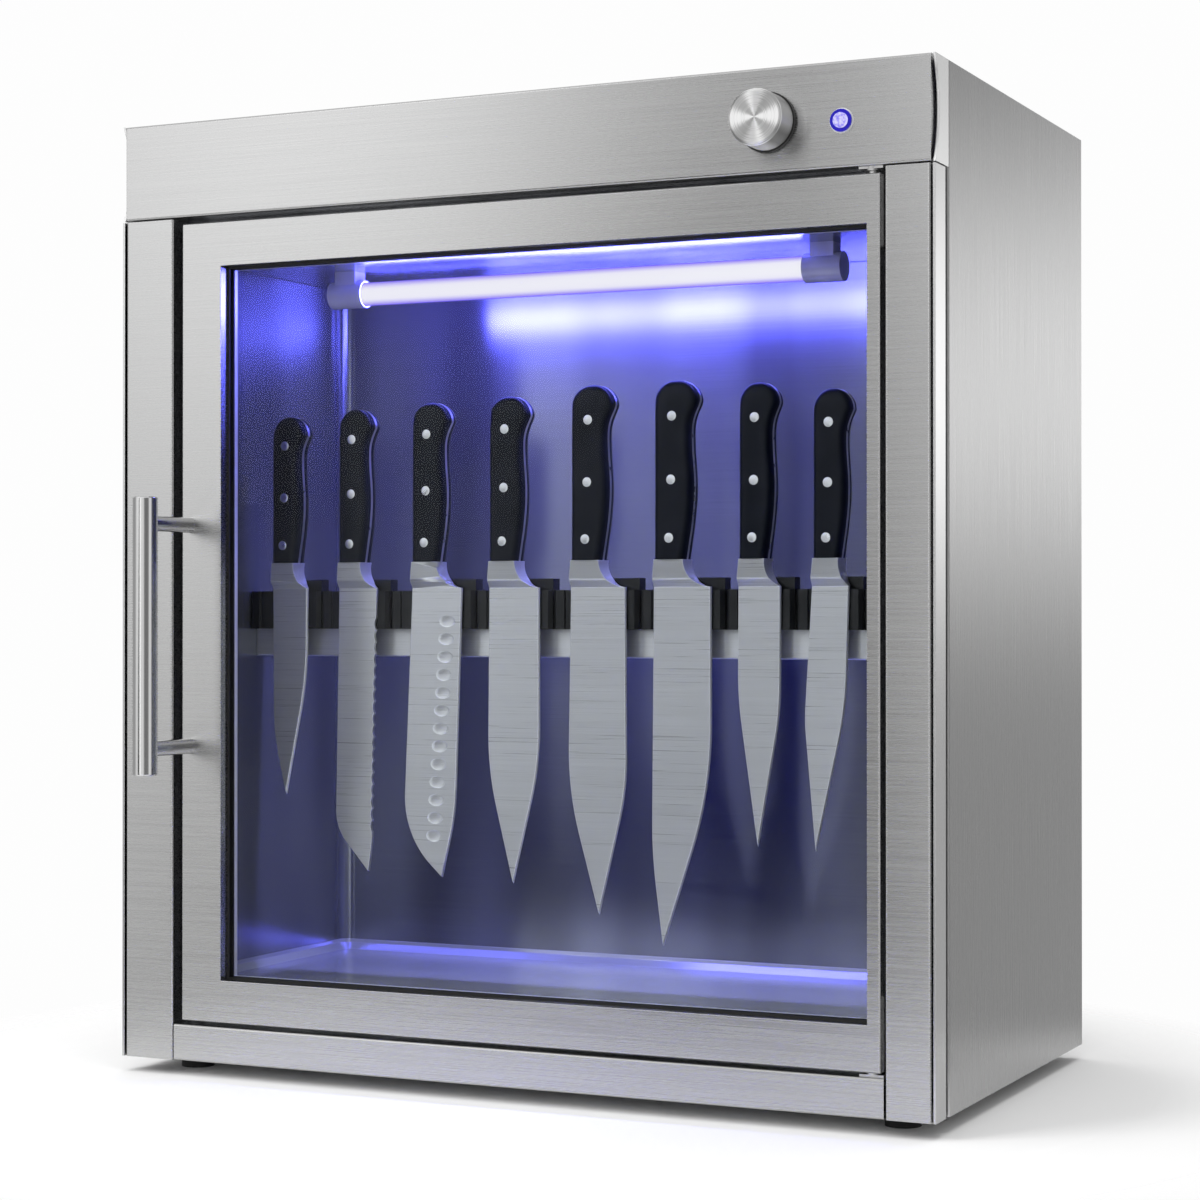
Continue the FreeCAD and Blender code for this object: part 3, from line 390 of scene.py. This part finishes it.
def glowing_tube(name):
    """The lit tube: near white where it faces the eye, violet towards its edge, and violet as a light."""
    material = bpy.data.materials.new(name)
    nodes, links = nodes_of(material)
    output = add(nodes, "OutputMaterial")
    facing = add(nodes, "LayerWeight")
    facing.inputs["Blend"].default_value = 0.5
    shade = ramp(nodes, [(0.0, (1.0, 0.98, 1.0)), (0.22, (0.94, 0.9, 1.0)), (0.5, (0.5, 0.42, 1.0)),
                         (0.85, (0.2, 0.14, 0.95))])
    links.new(facing.outputs["Facing"], shade.inputs["Fac"])
    seen = add(nodes, "Emission")
    links.new(shade.outputs["Color"], seen.inputs["Color"])
    flicker = cloud_noise(nodes, links, scale=5.0)
    level = ramp(nodes, [(0.3, 0.95), (0.7, 1.0)])
    links.new(flicker.outputs["Fac"], level.inputs["Fac"])
    links.new(level.outputs["Color"], seen.inputs["Strength"])
    light = add(nodes, "Emission")
    light.inputs["Color"].default_value = (*TUBE_COLOUR, 1)
    light.inputs["Strength"].default_value = TUBE_STRENGTH
    path = add(nodes, "LightPath")
    mix = add(nodes, "MixShader")
    links.new(path.outputs["Is Camera Ray"], mix.inputs["Fac"])
    links.new(light.outputs["Emission"], mix.inputs[1])
    links.new(seen.outputs["Emission"], mix.inputs[2])
    links.new(mix.outputs["Shader"], output.inputs["Surface"])
    return material


def lit_lens(name):
    """The pilot lamp's lens, lit from behind, its glow mottled over its face."""
    material = bpy.data.materials.new(name)
    nodes, links = nodes_of(material)
    output = add(nodes, "OutputMaterial")
    mottle = cloud_noise(nodes, links, scale=700.0)
    shade = ramp(nodes, [(0.35, (0.3, 0.26, 0.95)), (0.65, (0.72, 0.7, 1.0))])
    links.new(mottle.outputs["Fac"], shade.inputs["Fac"])
    glow = add(nodes, "Emission")
    glow.inputs["Strength"].default_value = 1.0
    links.new(shade.outputs["Color"], glow.inputs["Color"])
    links.new(glow.outputs["Emission"], output.inputs["Surface"])
    return material


# Each brushed finish's rim colour is a highlight painted along its edges.
materials = {
    "casing": brushed("casing_brushed", 0.46, 0.5, 0.27, aniso=0.8),
    "side": brushed("side_brushed", 0.46, 0.5, 0.28, along="z", turn=0.0, aniso=0.8),
    "top": brushed("top_brushed", 0.46, 0.51, 0.34, aniso=0.0),
    "edge": brushed("edge_polished", 0.5, 0.57, 0.22, aniso=0.0, grain=0.01),
    "end_cap": brushed("end_cap_polished", 0.8, 0.86, 0.2, aniso=0.0, grain=0.01, metallic=0.5),
    "strip": brushed("strip_brushed", 0.66, 0.76, 0.36, metallic=0.8),
    # The chamber's steel is darker and bluer than the casing's: painted shade in the cabinet's hollow and painted
    # violet lamp light, with a bluish painted edge highlight.
    "chamber": brushed("chamber_satin_painted_shade", (0.235, 0.242, 0.262), (0.282, 0.289, 0.31), 0.19, aniso=0.75, edge=0.001,
                       grain=0.03, metallic=0.72, rim=(0.34, 0.35, 0.44), painted_bands=0.25),
    # The chamber floor is lighter and bluer than the chamber walls: painted violet lamp light falling on it.
    "chamber_floor": brushed("chamber_floor_satin_painted_light", (0.5, 0.51, 0.58), (0.57, 0.58, 0.66), 0.16, edge=0.001,
                             grain=0.02, metallic=0.5, rim=(0.6, 0.6, 0.7)),
    "backing": brushed("backing_satin", 0.62, 0.7, 0.34, edge=0.001, grain=0.03, metallic=0.3),
    "hidden": spangled("galvanised", 0.4, 0.49, 0.42, 0.008),
    "rubber": plain("black_rubber", 0.006, 0.012, 0.7, grain=0.1),
    "seal": plain("grey_seal", 0.03, 0.045, 0.65, grain=0.1),
    "glass": clear_glass("door_glass", (0.94, 0.955, 0.97), 0.12),
    "bar": brushed("handle_polished", 0.56, 0.66, 0.15, along="z", turn=0.0, aniso=0.3, grain=0.01),
    "knob": spun("knob_spun", 0.36, 0.86, 0.36),
    "black": plain("black_plastic", 0.008, 0.014, 0.4, grain=0.05, specular=0.35),
    "rack": plain("rack_plastic", 0.008, 0.013, 0.33, grain=0.03, specular=0.35),
    "grip": plain("grip_plastic", (0.006, 0.007, 0.01), (0.009, 0.01, 0.014), 0.34, specular=0.12),
    "blade": brushed("blade_ground", 0.54, 0.62, 0.3, fine=1600.0, edge=0.0007, aniso=0.5, grain=0.05, metallic=0.68,
                     rim=(0.9, 0.9, 0.92)),
    "rivet": plain("rivet_steel", 0.66, 0.74, 0.3, metallic=1.0, scale=120.0),
    "holder": plain("lamp_holder", (0.48, 0.47, 0.66), (0.56, 0.55, 0.76), 0.25, coat=0.5),
    "cap": plain("lamp_cap", 0.45, 0.55, 0.3, metallic=1.0),
    "tube": glowing_tube("lamp_lit"),
    "blue_ring": plain("pilot_ring", (0.006, 0.003, 0.34), (0.014, 0.006, 0.46), 0.3, specular=0.25),
    "lens": lit_lens("pilot_lens_lit"),
    "pale_ring": plain("pilot_seat", 0.8, 0.88, 0.3, metallic=0.5, scale=500.0),
    "pivot": plain("pivot_steel", 0.4, 0.48, 0.35, metallic=1.0, scale=200.0),
    "paint": plain("white_enamel", 0.6, 0.68, 0.35),
    "bush": plain("bush_plastic", 0.02, 0.03, 0.4),
}

NODE_FINISH = {
    "left_side_panel": "side", "right_side_panel": "side", "top_panel": "top", "base_pan": "hidden",
    "back_panel": "hidden", "service_cover": "hidden", "inlet_plate": "hidden",
    "left_stile": "casing", "right_stile": "casing", "frame_sides": "edge", "bottom_rail": "casing",
    "control_fascia": "casing", "fascia_end_caps": "end_cap", "frame_gasket": "rubber",
    "rebate_frame": "chamber", "liner_wrap": "chamber", "liner_floor": "chamber_floor",
    "liner_ceiling": "chamber", "lamp_tube": "tube", "lamp_caps": "cap", "lamp_holders": "holder",
    "rack_blocks": "rack", "rack_magnets": "black", "rack_strip": "strip", "hinge_pivots": "pivot",
    "timer_body": "hidden", "pilot_bezel": "blue_ring", "pilot_lens": "lens", "ballast": "paint",
    "terminal_block": "paint", "mains_inlet": "black", "feet": "rubber", "door_skin": "casing",
    "door_glass": "glass", "glass_gasket": "rubber", "door_backing": "backing", "door_seal": "seal",
    "handle_bar": "bar", "handle_posts": "bar", "hinge_bushes": "bush", "timer_shaft": "bar",
    "timer_knob": "knob", "knob_skirt": "black",
}


def paint(obj, key):
    obj.data.materials.clear()
    obj.data.materials.append(materials[key])


def finish_nodes():
    for name, key in NODE_FINISH.items():
        paint(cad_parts[name], key)
    for knife in KNIVES:
        paint(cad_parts[knife + "_blade"], "blade")
        paint(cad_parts[knife + "_handle"], "grip")


# ---------- Pieces ----------

def mesh_object(name, vertices, faces, key, smooth=None):
    mesh = bpy.data.meshes.new(name)
    mesh.from_pydata(vertices, [], faces)
    mesh.update()
    obj = bpy.data.objects.new(name, mesh)
    bpy.context.scene.collection.objects.link(obj)
    obj.data.materials.append(materials[key])
    if smooth:
        mesh.shade_smooth()
        mesh.set_sharp_from_angle(angle=math.radians(smooth))
    return obj


def smooth_through(points, per_stretch=5):
    """Points on a Catmull-Rom curve through the given ones."""
    padded = [points[0]] + list(points) + [points[-1]]
    result = []
    for i in range(1, len(padded) - 2):
        a, b, c, d = padded[i - 1:i + 3]
        for step in range(per_stretch):
            t = step / per_stretch
            result.append(tuple(0.5 * (2 * b[k] + (c[k] - a[k]) * t + (2 * a[k] - 5 * b[k] + 4 * c[k] - d[k]) * t * t
                                       + (3 * b[k] - a[k] - 3 * c[k] + d[k]) * t ** 3) for k in (0, 1)))
    result.append(tuple(points[-1]))
    return result


def lofted(name, sections, key, smooth=40):
    """A closed solid through sections that all have the same number of points."""
    vertices = [point for section in sections for point in section]
    count = len(sections[0])
    faces = [tuple(range(count))]
    for level in range(len(sections) - 1):
        a = level * count
        b = a + count
        for i in range(count):
            j = (i + 1) % count
            faces.append((a + j, a + i, b + i, b + j))
    faces.append(tuple(range(len(vertices) - 1, len(vertices) - count - 1, -1)))
    return mesh_object(name, vertices, faces, key, smooth)


def rounded_section(left, right, middle_y, half_depth, z):
    """A level section with flat sides and rounded corners."""
    power = 2 / GRIP_SQUARENESS
    centre = (left + right) / 2
    half_width = (right - left) / 2
    points = []
    for step in range(GRIP_SIDES):
        angle = 2 * math.pi * (step + 0.5) / GRIP_SIDES
        across = math.copysign(abs(math.cos(angle)) ** power, math.cos(angle))
        deep = math.copysign(abs(math.sin(angle)) ** power, math.sin(angle))
        points.append((centre + half_width * across, middle_y + half_depth * deep, z))
    return points


def grip_levels(low, high):
    """Left edge, right edge, share of the full depth and height of each level of a handle."""
    width = (high.x - low.x) / GRIP_HOOK
    shoulder = high.z - GRIP_BUTT
    side = smooth_through(GRIP_SIDE + [(GRIP_HOOK, (shoulder - low.z) / (high.z - low.z))])
    levels = [(low.x, low.x + across * width, 1.0, low.z + up * (high.z - low.z)) for across, up in side]
    centre = (low.x + high.x) / 2
    for step in range(1, GRIP_BUTT_STEPS + 1):
        angle = math.radians(GRIP_BUTT_ANGLE) * step / GRIP_BUTT_STEPS
        half_width = (high.x - low.x) / 2 * math.cos(angle)
        levels.append((centre - half_width, centre + half_width, math.cos(angle) ** GRIP_BUTT_DEPTH_POWER,
                       shoulder + GRIP_BUTT * math.sin(angle)))
    return levels


def make_grip(knife):
    """Smooth handle over the tang, with its rivets and the tang's edge showing all round."""
    low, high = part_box(knife + "_handle")
    middle = (low.y + high.y) / 2
    half = (high.y - low.y) / 2
    levels = grip_levels(low, high)
    grip = lofted(knife + "_grip", [rounded_section(left, right, middle, half * depth, z)
                                    for left, right, depth, z in levels], "grip")
    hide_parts(knife + "_handle")
    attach(grip, knife)
    edge = lofted(knife + "_tang_edge", [tang_section(left, right, middle, z) for left, right, _, z in levels],
                  "rivet")
    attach(edge, knife)
    width = (high.x - low.x) / GRIP_HOOK
    for number, (across, up) in enumerate(RIVET_PLACES):
        x = low.x + across * width
        z = low.z + up * (high.z - low.z)
        for face, y in (("front", low.y), ("back", high.y)):
            rivet = domed_disc(f"{knife}_rivet_{face}_{number}", Vector((x, y, z)),
                               Vector((0, y - middle, 0)).normalized(), RIVET_RADIUS, RIVET_PROUD, "rivet")
            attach(rivet, knife)


def tang_section(left, right, middle, z):
    """The tang between the two scales, a hair wider than they are."""
    near = middle - TANG_THICKNESS / 2
    far = middle + TANG_THICKNESS / 2
    return [(left - TANG_PROUD, near, z), (left - TANG_PROUD, far, z), (right + TANG_PROUD, far, z),
            (right + TANG_PROUD, near, z)]


def hollow_cutters(source):
    """Flat ovals in a row on a blade's front face, to be cut out of it."""
    bm = bmesh.new()
    shape = Matrix.Diagonal((DIMPLE_SIZE[0] / 2, DIMPLE_DEPTH, DIMPLE_SIZE[1] / 2, 1))
    for number in range(DIMPLE_COUNT):
        share = number / (DIMPLE_COUNT - 1)
        x = DIMPLE_FIRST[0] + share * (DIMPLE_LAST[0] - DIMPLE_FIRST[0])
        z = DIMPLE_FIRST[1] + share * (DIMPLE_LAST[1] - DIMPLE_FIRST[1])
        hit, place, _, _ = source.ray_cast(Vector((x, DIMPLE_RAY_Y, z)), Vector((0, 1, 0)))
        if hit:
            bmesh.ops.create_uvsphere(bm, u_segments=DIMPLE_SIDES, v_segments=DIMPLE_RINGS, radius=1.0,
                                      matrix=Matrix.Translation(place) @ shape)
    mesh = bpy.data.meshes.new("hollow_cutters")
    bm.to_mesh(mesh)
    bm.free()
    cutters = bpy.data.objects.new("hollow_cutters", mesh)
    bpy.context.scene.collection.objects.link(cutters)
    return cutters


def round_bolster(mesh):
    """Rounds the edges of the bolster's front and back faces, apart from where the handle meets them."""
    bm = bmesh.new()
    bm.from_mesh(mesh)
    front = min(v.co.y for v in bm.verts)
    back = max(v.co.y for v in bm.verts)
    top = max(v.co.z for v in bm.verts if v.co.y < front + SAME_PLACE)
    edges = []
    for edge in bm.edges:
        for face_y in (front, back):
            on_face = all(abs(v.co.y - face_y) < SAME_PLACE for v in edge.verts)
            at_handle = all(v.co.z > top - SAME_PLACE for v in edge.verts)
            if on_face and not at_handle and edge.calc_face_angle(0) > BOLSTER_SHARP:
                edges.append(edge)
    bmesh.ops.bevel(bm, geom=edges, offset=BOLSTER_ROUNDING, segments=BOLSTER_STEPS, profile=0.5, affect="EDGES",
                    clamp_overlap=True)
    bm.to_mesh(mesh)
    bm.free()


def make_blade(knife):
    """A blade with its bolster rounded, and with the row of hollows on the santoku's."""
    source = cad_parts[knife + "_blade"]
    blade = bpy.data.objects.new(knife + "_ground_blade", source.data.copy())
    bpy.context.scene.collection.objects.link(blade)
    if knife == "santoku_knife":
        cutters = hollow_cutters(source)
        cut = blade.modifiers.new("hollows", "BOOLEAN")
        cut.object = cutters
        shaped = bpy.data.meshes.new_from_object(blade.evaluated_get(bpy.context.evaluated_depsgraph_get()))
        blade.modifiers.clear()
        blade.data = shaped
        bpy.data.objects.remove(cutters)
    round_bolster(blade.data)
    for face in blade.data.polygons:
        face.use_smooth = face.area < ROUNDED_FACE and abs(face.normal.y) < FLAT_SIDE
    paint(blade, "blade")
    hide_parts(knife + "_blade")
    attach(blade, knife)


def domed_disc(name, place, normal, radius, rise, key, rings=3, sides=28):
    """A slightly domed disc that stands off a face along its normal."""
    side = normal.orthogonal().normalized()
    up = normal.cross(side)
    vertices = []
    for ring in range(rings + 1):
        share = ring / rings
        reach = radius * math.cos(share * math.pi / 2 * DOME_SHARE)
        lift = rise * math.sin(share * math.pi / 2)
        for step in range(sides):
            angle = 2 * math.pi * step / sides
            vertices.append(place + side * reach * math.cos(angle) + up * reach * math.sin(angle) + normal * lift)
    faces = []
    for ring in range(rings):
        for step in range(sides):
            nxt = (step + 1) % sides
            faces.append((ring * sides + step, ring * sides + nxt, (ring + 1) * sides + nxt,
                          (ring + 1) * sides + step))
    faces.append(tuple(rings * sides + step for step in range(sides)))
    return mesh_object(name, vertices, faces, key, smooth=40)


def make_screws():
    """Pan-head screws along the sides of the rear cover and at the corners of the plates above it."""
    low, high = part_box("back_panel")
    pitch = (high.z - low.z - 2 * SCREW_END_INSET) / (SCREW_ROWS - 1)
    places = [(x, low.z + SCREW_END_INSET + pitch * row)
              for x in (low.x + SCREW_INSET, high.x - SCREW_INSET) for row in range(SCREW_ROWS)]
    for plate in ("service_cover", "inlet_plate"):
        corner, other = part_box(plate)
        places += [(x, z) for x in (corner.x + SCREW_INSET, other.x - SCREW_INSET)
                   for z in (corner.z + SCREW_INSET, other.z - SCREW_INSET)]
    for number, (x, z) in enumerate(places):
        screw = domed_disc(f"back_screw_{number}", Vector((x, high.y, z)), Vector((0, 1, 0)), SCREW_HEAD,
                           SCREW_RISE, "rivet")
        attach(screw, "cabinet")


def make_pilot_seat():
    """Thin pale ring where the pilot lamp's bezel meets the fascia."""
    low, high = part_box("pilot_bezel")
    centre = Vector(((low.x + high.x) / 2, high.y, (low.z + high.z) / 2))
    radius = (high.x - low.x) / 2
    count = len(SEAT_PROFILE)
    vertices = []
    faces = []
    for step in range(SEAT_STEPS):
        angle = 2 * math.pi * step / SEAT_STEPS
        vertices += [(centre.x + radius * share * math.cos(angle), centre.y + y,
                      centre.z + radius * share * math.sin(angle)) for share, y in SEAT_PROFILE]
        a = step * count
        b = (step + 1) % SEAT_STEPS * count
        faces += [(a + i, a + (i + 1) % count, b + (i + 1) % count, b + i) for i in range(count)]
    ring = mesh_object("pilot_seat_ring", vertices, faces, "pale_ring", smooth=50)
    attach(ring, "cabinet")


# ---------- Stage ----------

def make_floor():
    """A pale floor that fades out at its rim, so that its shadow ends in the white background."""
    bpy.ops.mesh.primitive_plane_add(size=FLOOR_SIZE, location=(0, 0, 0))
    floor = bpy.context.object
    floor.name = "studio_floor"
    material = bpy.data.materials.new("studio_white")
    nodes, links = nodes_of(material)
    output = add(nodes, "OutputMaterial")
    diffuse = add(nodes, "BsdfDiffuse")
    noise = cloud_noise(nodes, links, scale=3.0)
    colour = ramp(nodes, [(0.3, 0.91), (0.7, 0.93)])
    links.new(noise.outputs["Fac"], colour.inputs["Fac"])
    links.new(colour.outputs["Color"], diffuse.inputs["Color"])
    clear = add(nodes, "BsdfTransparent")
    coordinates = add(nodes, "TexCoord")
    length = add(nodes, "VectorMath", operation="LENGTH")
    links.new(coordinates.outputs["Object"], length.inputs[0])
    fade = add(nodes, "MapRange")
    fade.inputs["From Min"].default_value = FLOOR_SOLID
    fade.inputs["From Max"].default_value = FLOOR_END
    links.new(length.outputs["Value"], fade.inputs["Value"])
    mix = add(nodes, "MixShader")
    links.new(fade.outputs["Result"], mix.inputs["Fac"])
    links.new(diffuse.outputs["BSDF"], mix.inputs[1])
    links.new(clear.outputs["BSDF"], mix.inputs[2])
    links.new(mix.outputs["Shader"], output.inputs["Surface"])
    floor.data.materials.append(material)


# What metal and glass see besides the white background, in degrees: soft lights, and grey cards where
# the level is below zero. "turn" is measured from the front (-Y) towards the left (-X), "rise" from
# level; each area keeps its level within its half-size and fades over "soft".
SOFT_AREAS = [
    {"turn": 31.5, "half_turn": 3, "soft_turn": 7, "rise": 20, "half_rise": 14, "soft_rise": 14, "level": 1.25},
    {"turn": 12.5, "half_turn": 5, "soft_turn": 4, "rise": 9, "half_rise": 13, "soft_rise": 10, "level": 0.65},
    {"turn": 27.5, "half_turn": 8, "soft_turn": 4, "rise": -10, "half_rise": 9, "soft_rise": 14, "level": -0.8},
    {"turn": 22.5, "half_turn": 2.5, "soft_turn": 5, "rise": 5, "half_rise": 24, "soft_rise": 16, "level": -0.55},
    {"turn": 102, "half_turn": 34, "soft_turn": 14, "rise": 0, "half_rise": 30, "soft_rise": 20, "level": -0.55},
    {"turn": -46, "half_turn": 15, "soft_turn": 13, "rise": 0, "half_rise": 30, "soft_rise": 20, "level": -0.75},
    {"turn": -120, "half_turn": 20, "soft_turn": 12, "rise": 0, "half_rise": 25, "soft_rise": 20, "level": -0.75},
    {"turn": -158, "half_turn": 16, "soft_turn": 10, "rise": 0, "half_rise": 35, "soft_rise": 20, "level": -0.42},
    {"turn": -163, "half_turn": 12, "soft_turn": 10, "rise": 5, "half_rise": 0.6, "soft_rise": 6.5, "level": 1.2},
]
# Strength of the white background that is seen, and of the plain light on matt surfaces.
BACKDROP = 0.985
AMBIENT = 0.5
# Name, place, point looked at, size in metres and power in watts of each soft box round the cabinet.
SOFT_BOXES = [
    ("key_soft", (-1.2, -1.6, 1.5), (0, 0, 0.35), (1.0, 1.0), 24.0),
    ("front_fill", (0.5, -2.6, 0.9), (0, 0, 0.3), (1.6, 1.2), 15.0),
    ("overhead", (0.0, 0.0, 2.4), (0, 0, 0), (2.4, 2.4), 40.0),
]


def within(nodes, links, value, centre, half, soft):
    """1 within a half-size of a centre, in degrees, and smoothly 0 beyond its soft edge."""
    away = value_math(nodes, links, "SUBTRACT", value, math.radians(centre))
    wrapped = value_math(nodes, links, "WRAP", away, math.pi)
    wrapped.node.inputs[2].default_value = -math.pi
    size = value_math(nodes, links, "ABSOLUTE", wrapped, None)
    reach = add(nodes, "MapRange", interpolation_type="SMOOTHSTEP")
    reach.inputs["From Min"].default_value = math.radians(half + soft)
    reach.inputs["From Max"].default_value = math.radians(half)
    links.new(size, reach.inputs["Value"])
    return reach.outputs["Result"]


def make_world():
    """White background for the camera, glass and metal, SOFT_AREAS in metal, and plain light elsewhere."""
    world = bpy.data.worlds.new("studio")
    bpy.context.scene.world = world
    world.use_nodes = True
    nodes = world.node_tree.nodes
    links = world.node_tree.links
    nodes.clear()
    output = add(nodes, "OutputWorld")
    coordinates = add(nodes, "TexCoord")
    parts = add(nodes, "SeparateXYZ")
    links.new(coordinates.outputs["Generated"], parts.inputs["Vector"])
    left = value_math(nodes, links, "MULTIPLY", parts.outputs["X"], -1.0)
    front = value_math(nodes, links, "MULTIPLY", parts.outputs["Y"], -1.0)
    turn = value_math(nodes, links, "ARCTAN2", left, front)
    rise = value_math(nodes, links, "ARCSINE", parts.outputs["Z"], None)
    path = add(nodes, "LightPath")
    level = BACKDROP
    for area in SOFT_AREAS:
        across = within(nodes, links, turn, area["turn"], area["half_turn"], area["soft_turn"])
        up = within(nodes, links, rise, area["rise"], area["half_rise"], area["soft_rise"])
        both = value_math(nodes, links, "MULTIPLY", across, up)
        in_metal = value_math(nodes, links, "MULTIPLY", both, path.outputs["Is Glossy Ray"])
        scaled = value_math(nodes, links, "MULTIPLY", in_metal, area["level"])
        level = value_math(nodes, links, "ADD", scaled, level)
    backdrop = add(nodes, "Background")
    backdrop.inputs["Color"].default_value = (1, 1, 1, 1)
    links.new(level, backdrop.inputs["Strength"])
    ambient = add(nodes, "Background")
    ambient.inputs["Color"].default_value = (1, 1, 1, 1)
    ambient.inputs["Strength"].default_value = AMBIENT
    seen = value_math(nodes, links, "MAXIMUM", path.outputs["Is Camera Ray"], path.outputs["Is Transmission Ray"])
    seen = value_math(nodes, links, "MAXIMUM", seen, path.outputs["Is Glossy Ray"])
    mix = add(nodes, "MixShader")
    links.new(seen, mix.inputs["Fac"])
    links.new(ambient.outputs["Background"], mix.inputs[1])
    links.new(backdrop.outputs["Background"], mix.inputs[2])
    links.new(mix.outputs["Shader"], output.inputs["Surface"])


def area_light(name, place, towards, size, power, colour=(1, 1, 1), spread=180.0):
    data = bpy.data.lights.new(name, "AREA")
    data.shape = "RECTANGLE"
    data.size, data.size_y = size
    data.energy = power
    data.color = colour
    data.spread = math.radians(spread)
    lamp = bpy.data.objects.new(name, data)
    lamp.location = place
    lamp.rotation_euler = (Vector(towards) - Vector(place)).to_track_quat("-Z", "Y").to_euler()
    lamp.visible_glossy = False
    bpy.context.scene.collection.objects.link(lamp)


def make_lights():
    """The tube's own light, thrown down into the chamber, and the soft boxes."""
    low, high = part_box("lamp_tube")
    under = Vector(((low.x + high.x) / 2, (low.y + high.y) / 2, low.z - GLOW_GAP))
    area_light("tube_glow", under, under - Vector((0, 0, 1)), (high.x - low.x, high.y - low.y), GLOW_POWER,
               GLOW_COLOUR, GLOW_SPREAD)
    for name, place, towards, size, power in SOFT_BOXES:
        area_light(name, place, towards, size, power)


def make_camera():
    data = bpy.data.cameras.new("photo_camera")
    data.lens = CAMERA_LENS
    data.sensor_width = CAMERA_SENSOR
    camera = bpy.data.objects.new("photo_camera", data)
    camera.location = CAMERA_PLACE
    camera.rotation_euler = (math.radians(90 + CAMERA_PITCH), 0, math.radians(CAMERA_YAW))
    bpy.context.scene.collection.objects.link(camera)
    bpy.context.scene.camera = camera


finish_nodes()
for knife in KNIVES:
    make_grip(knife)
    make_blade(knife)
make_screws()
make_pilot_seat()
make_floor()
make_world()
make_lights()
make_camera()
bpy.context.scene.view_settings.view_transform = "Standard"
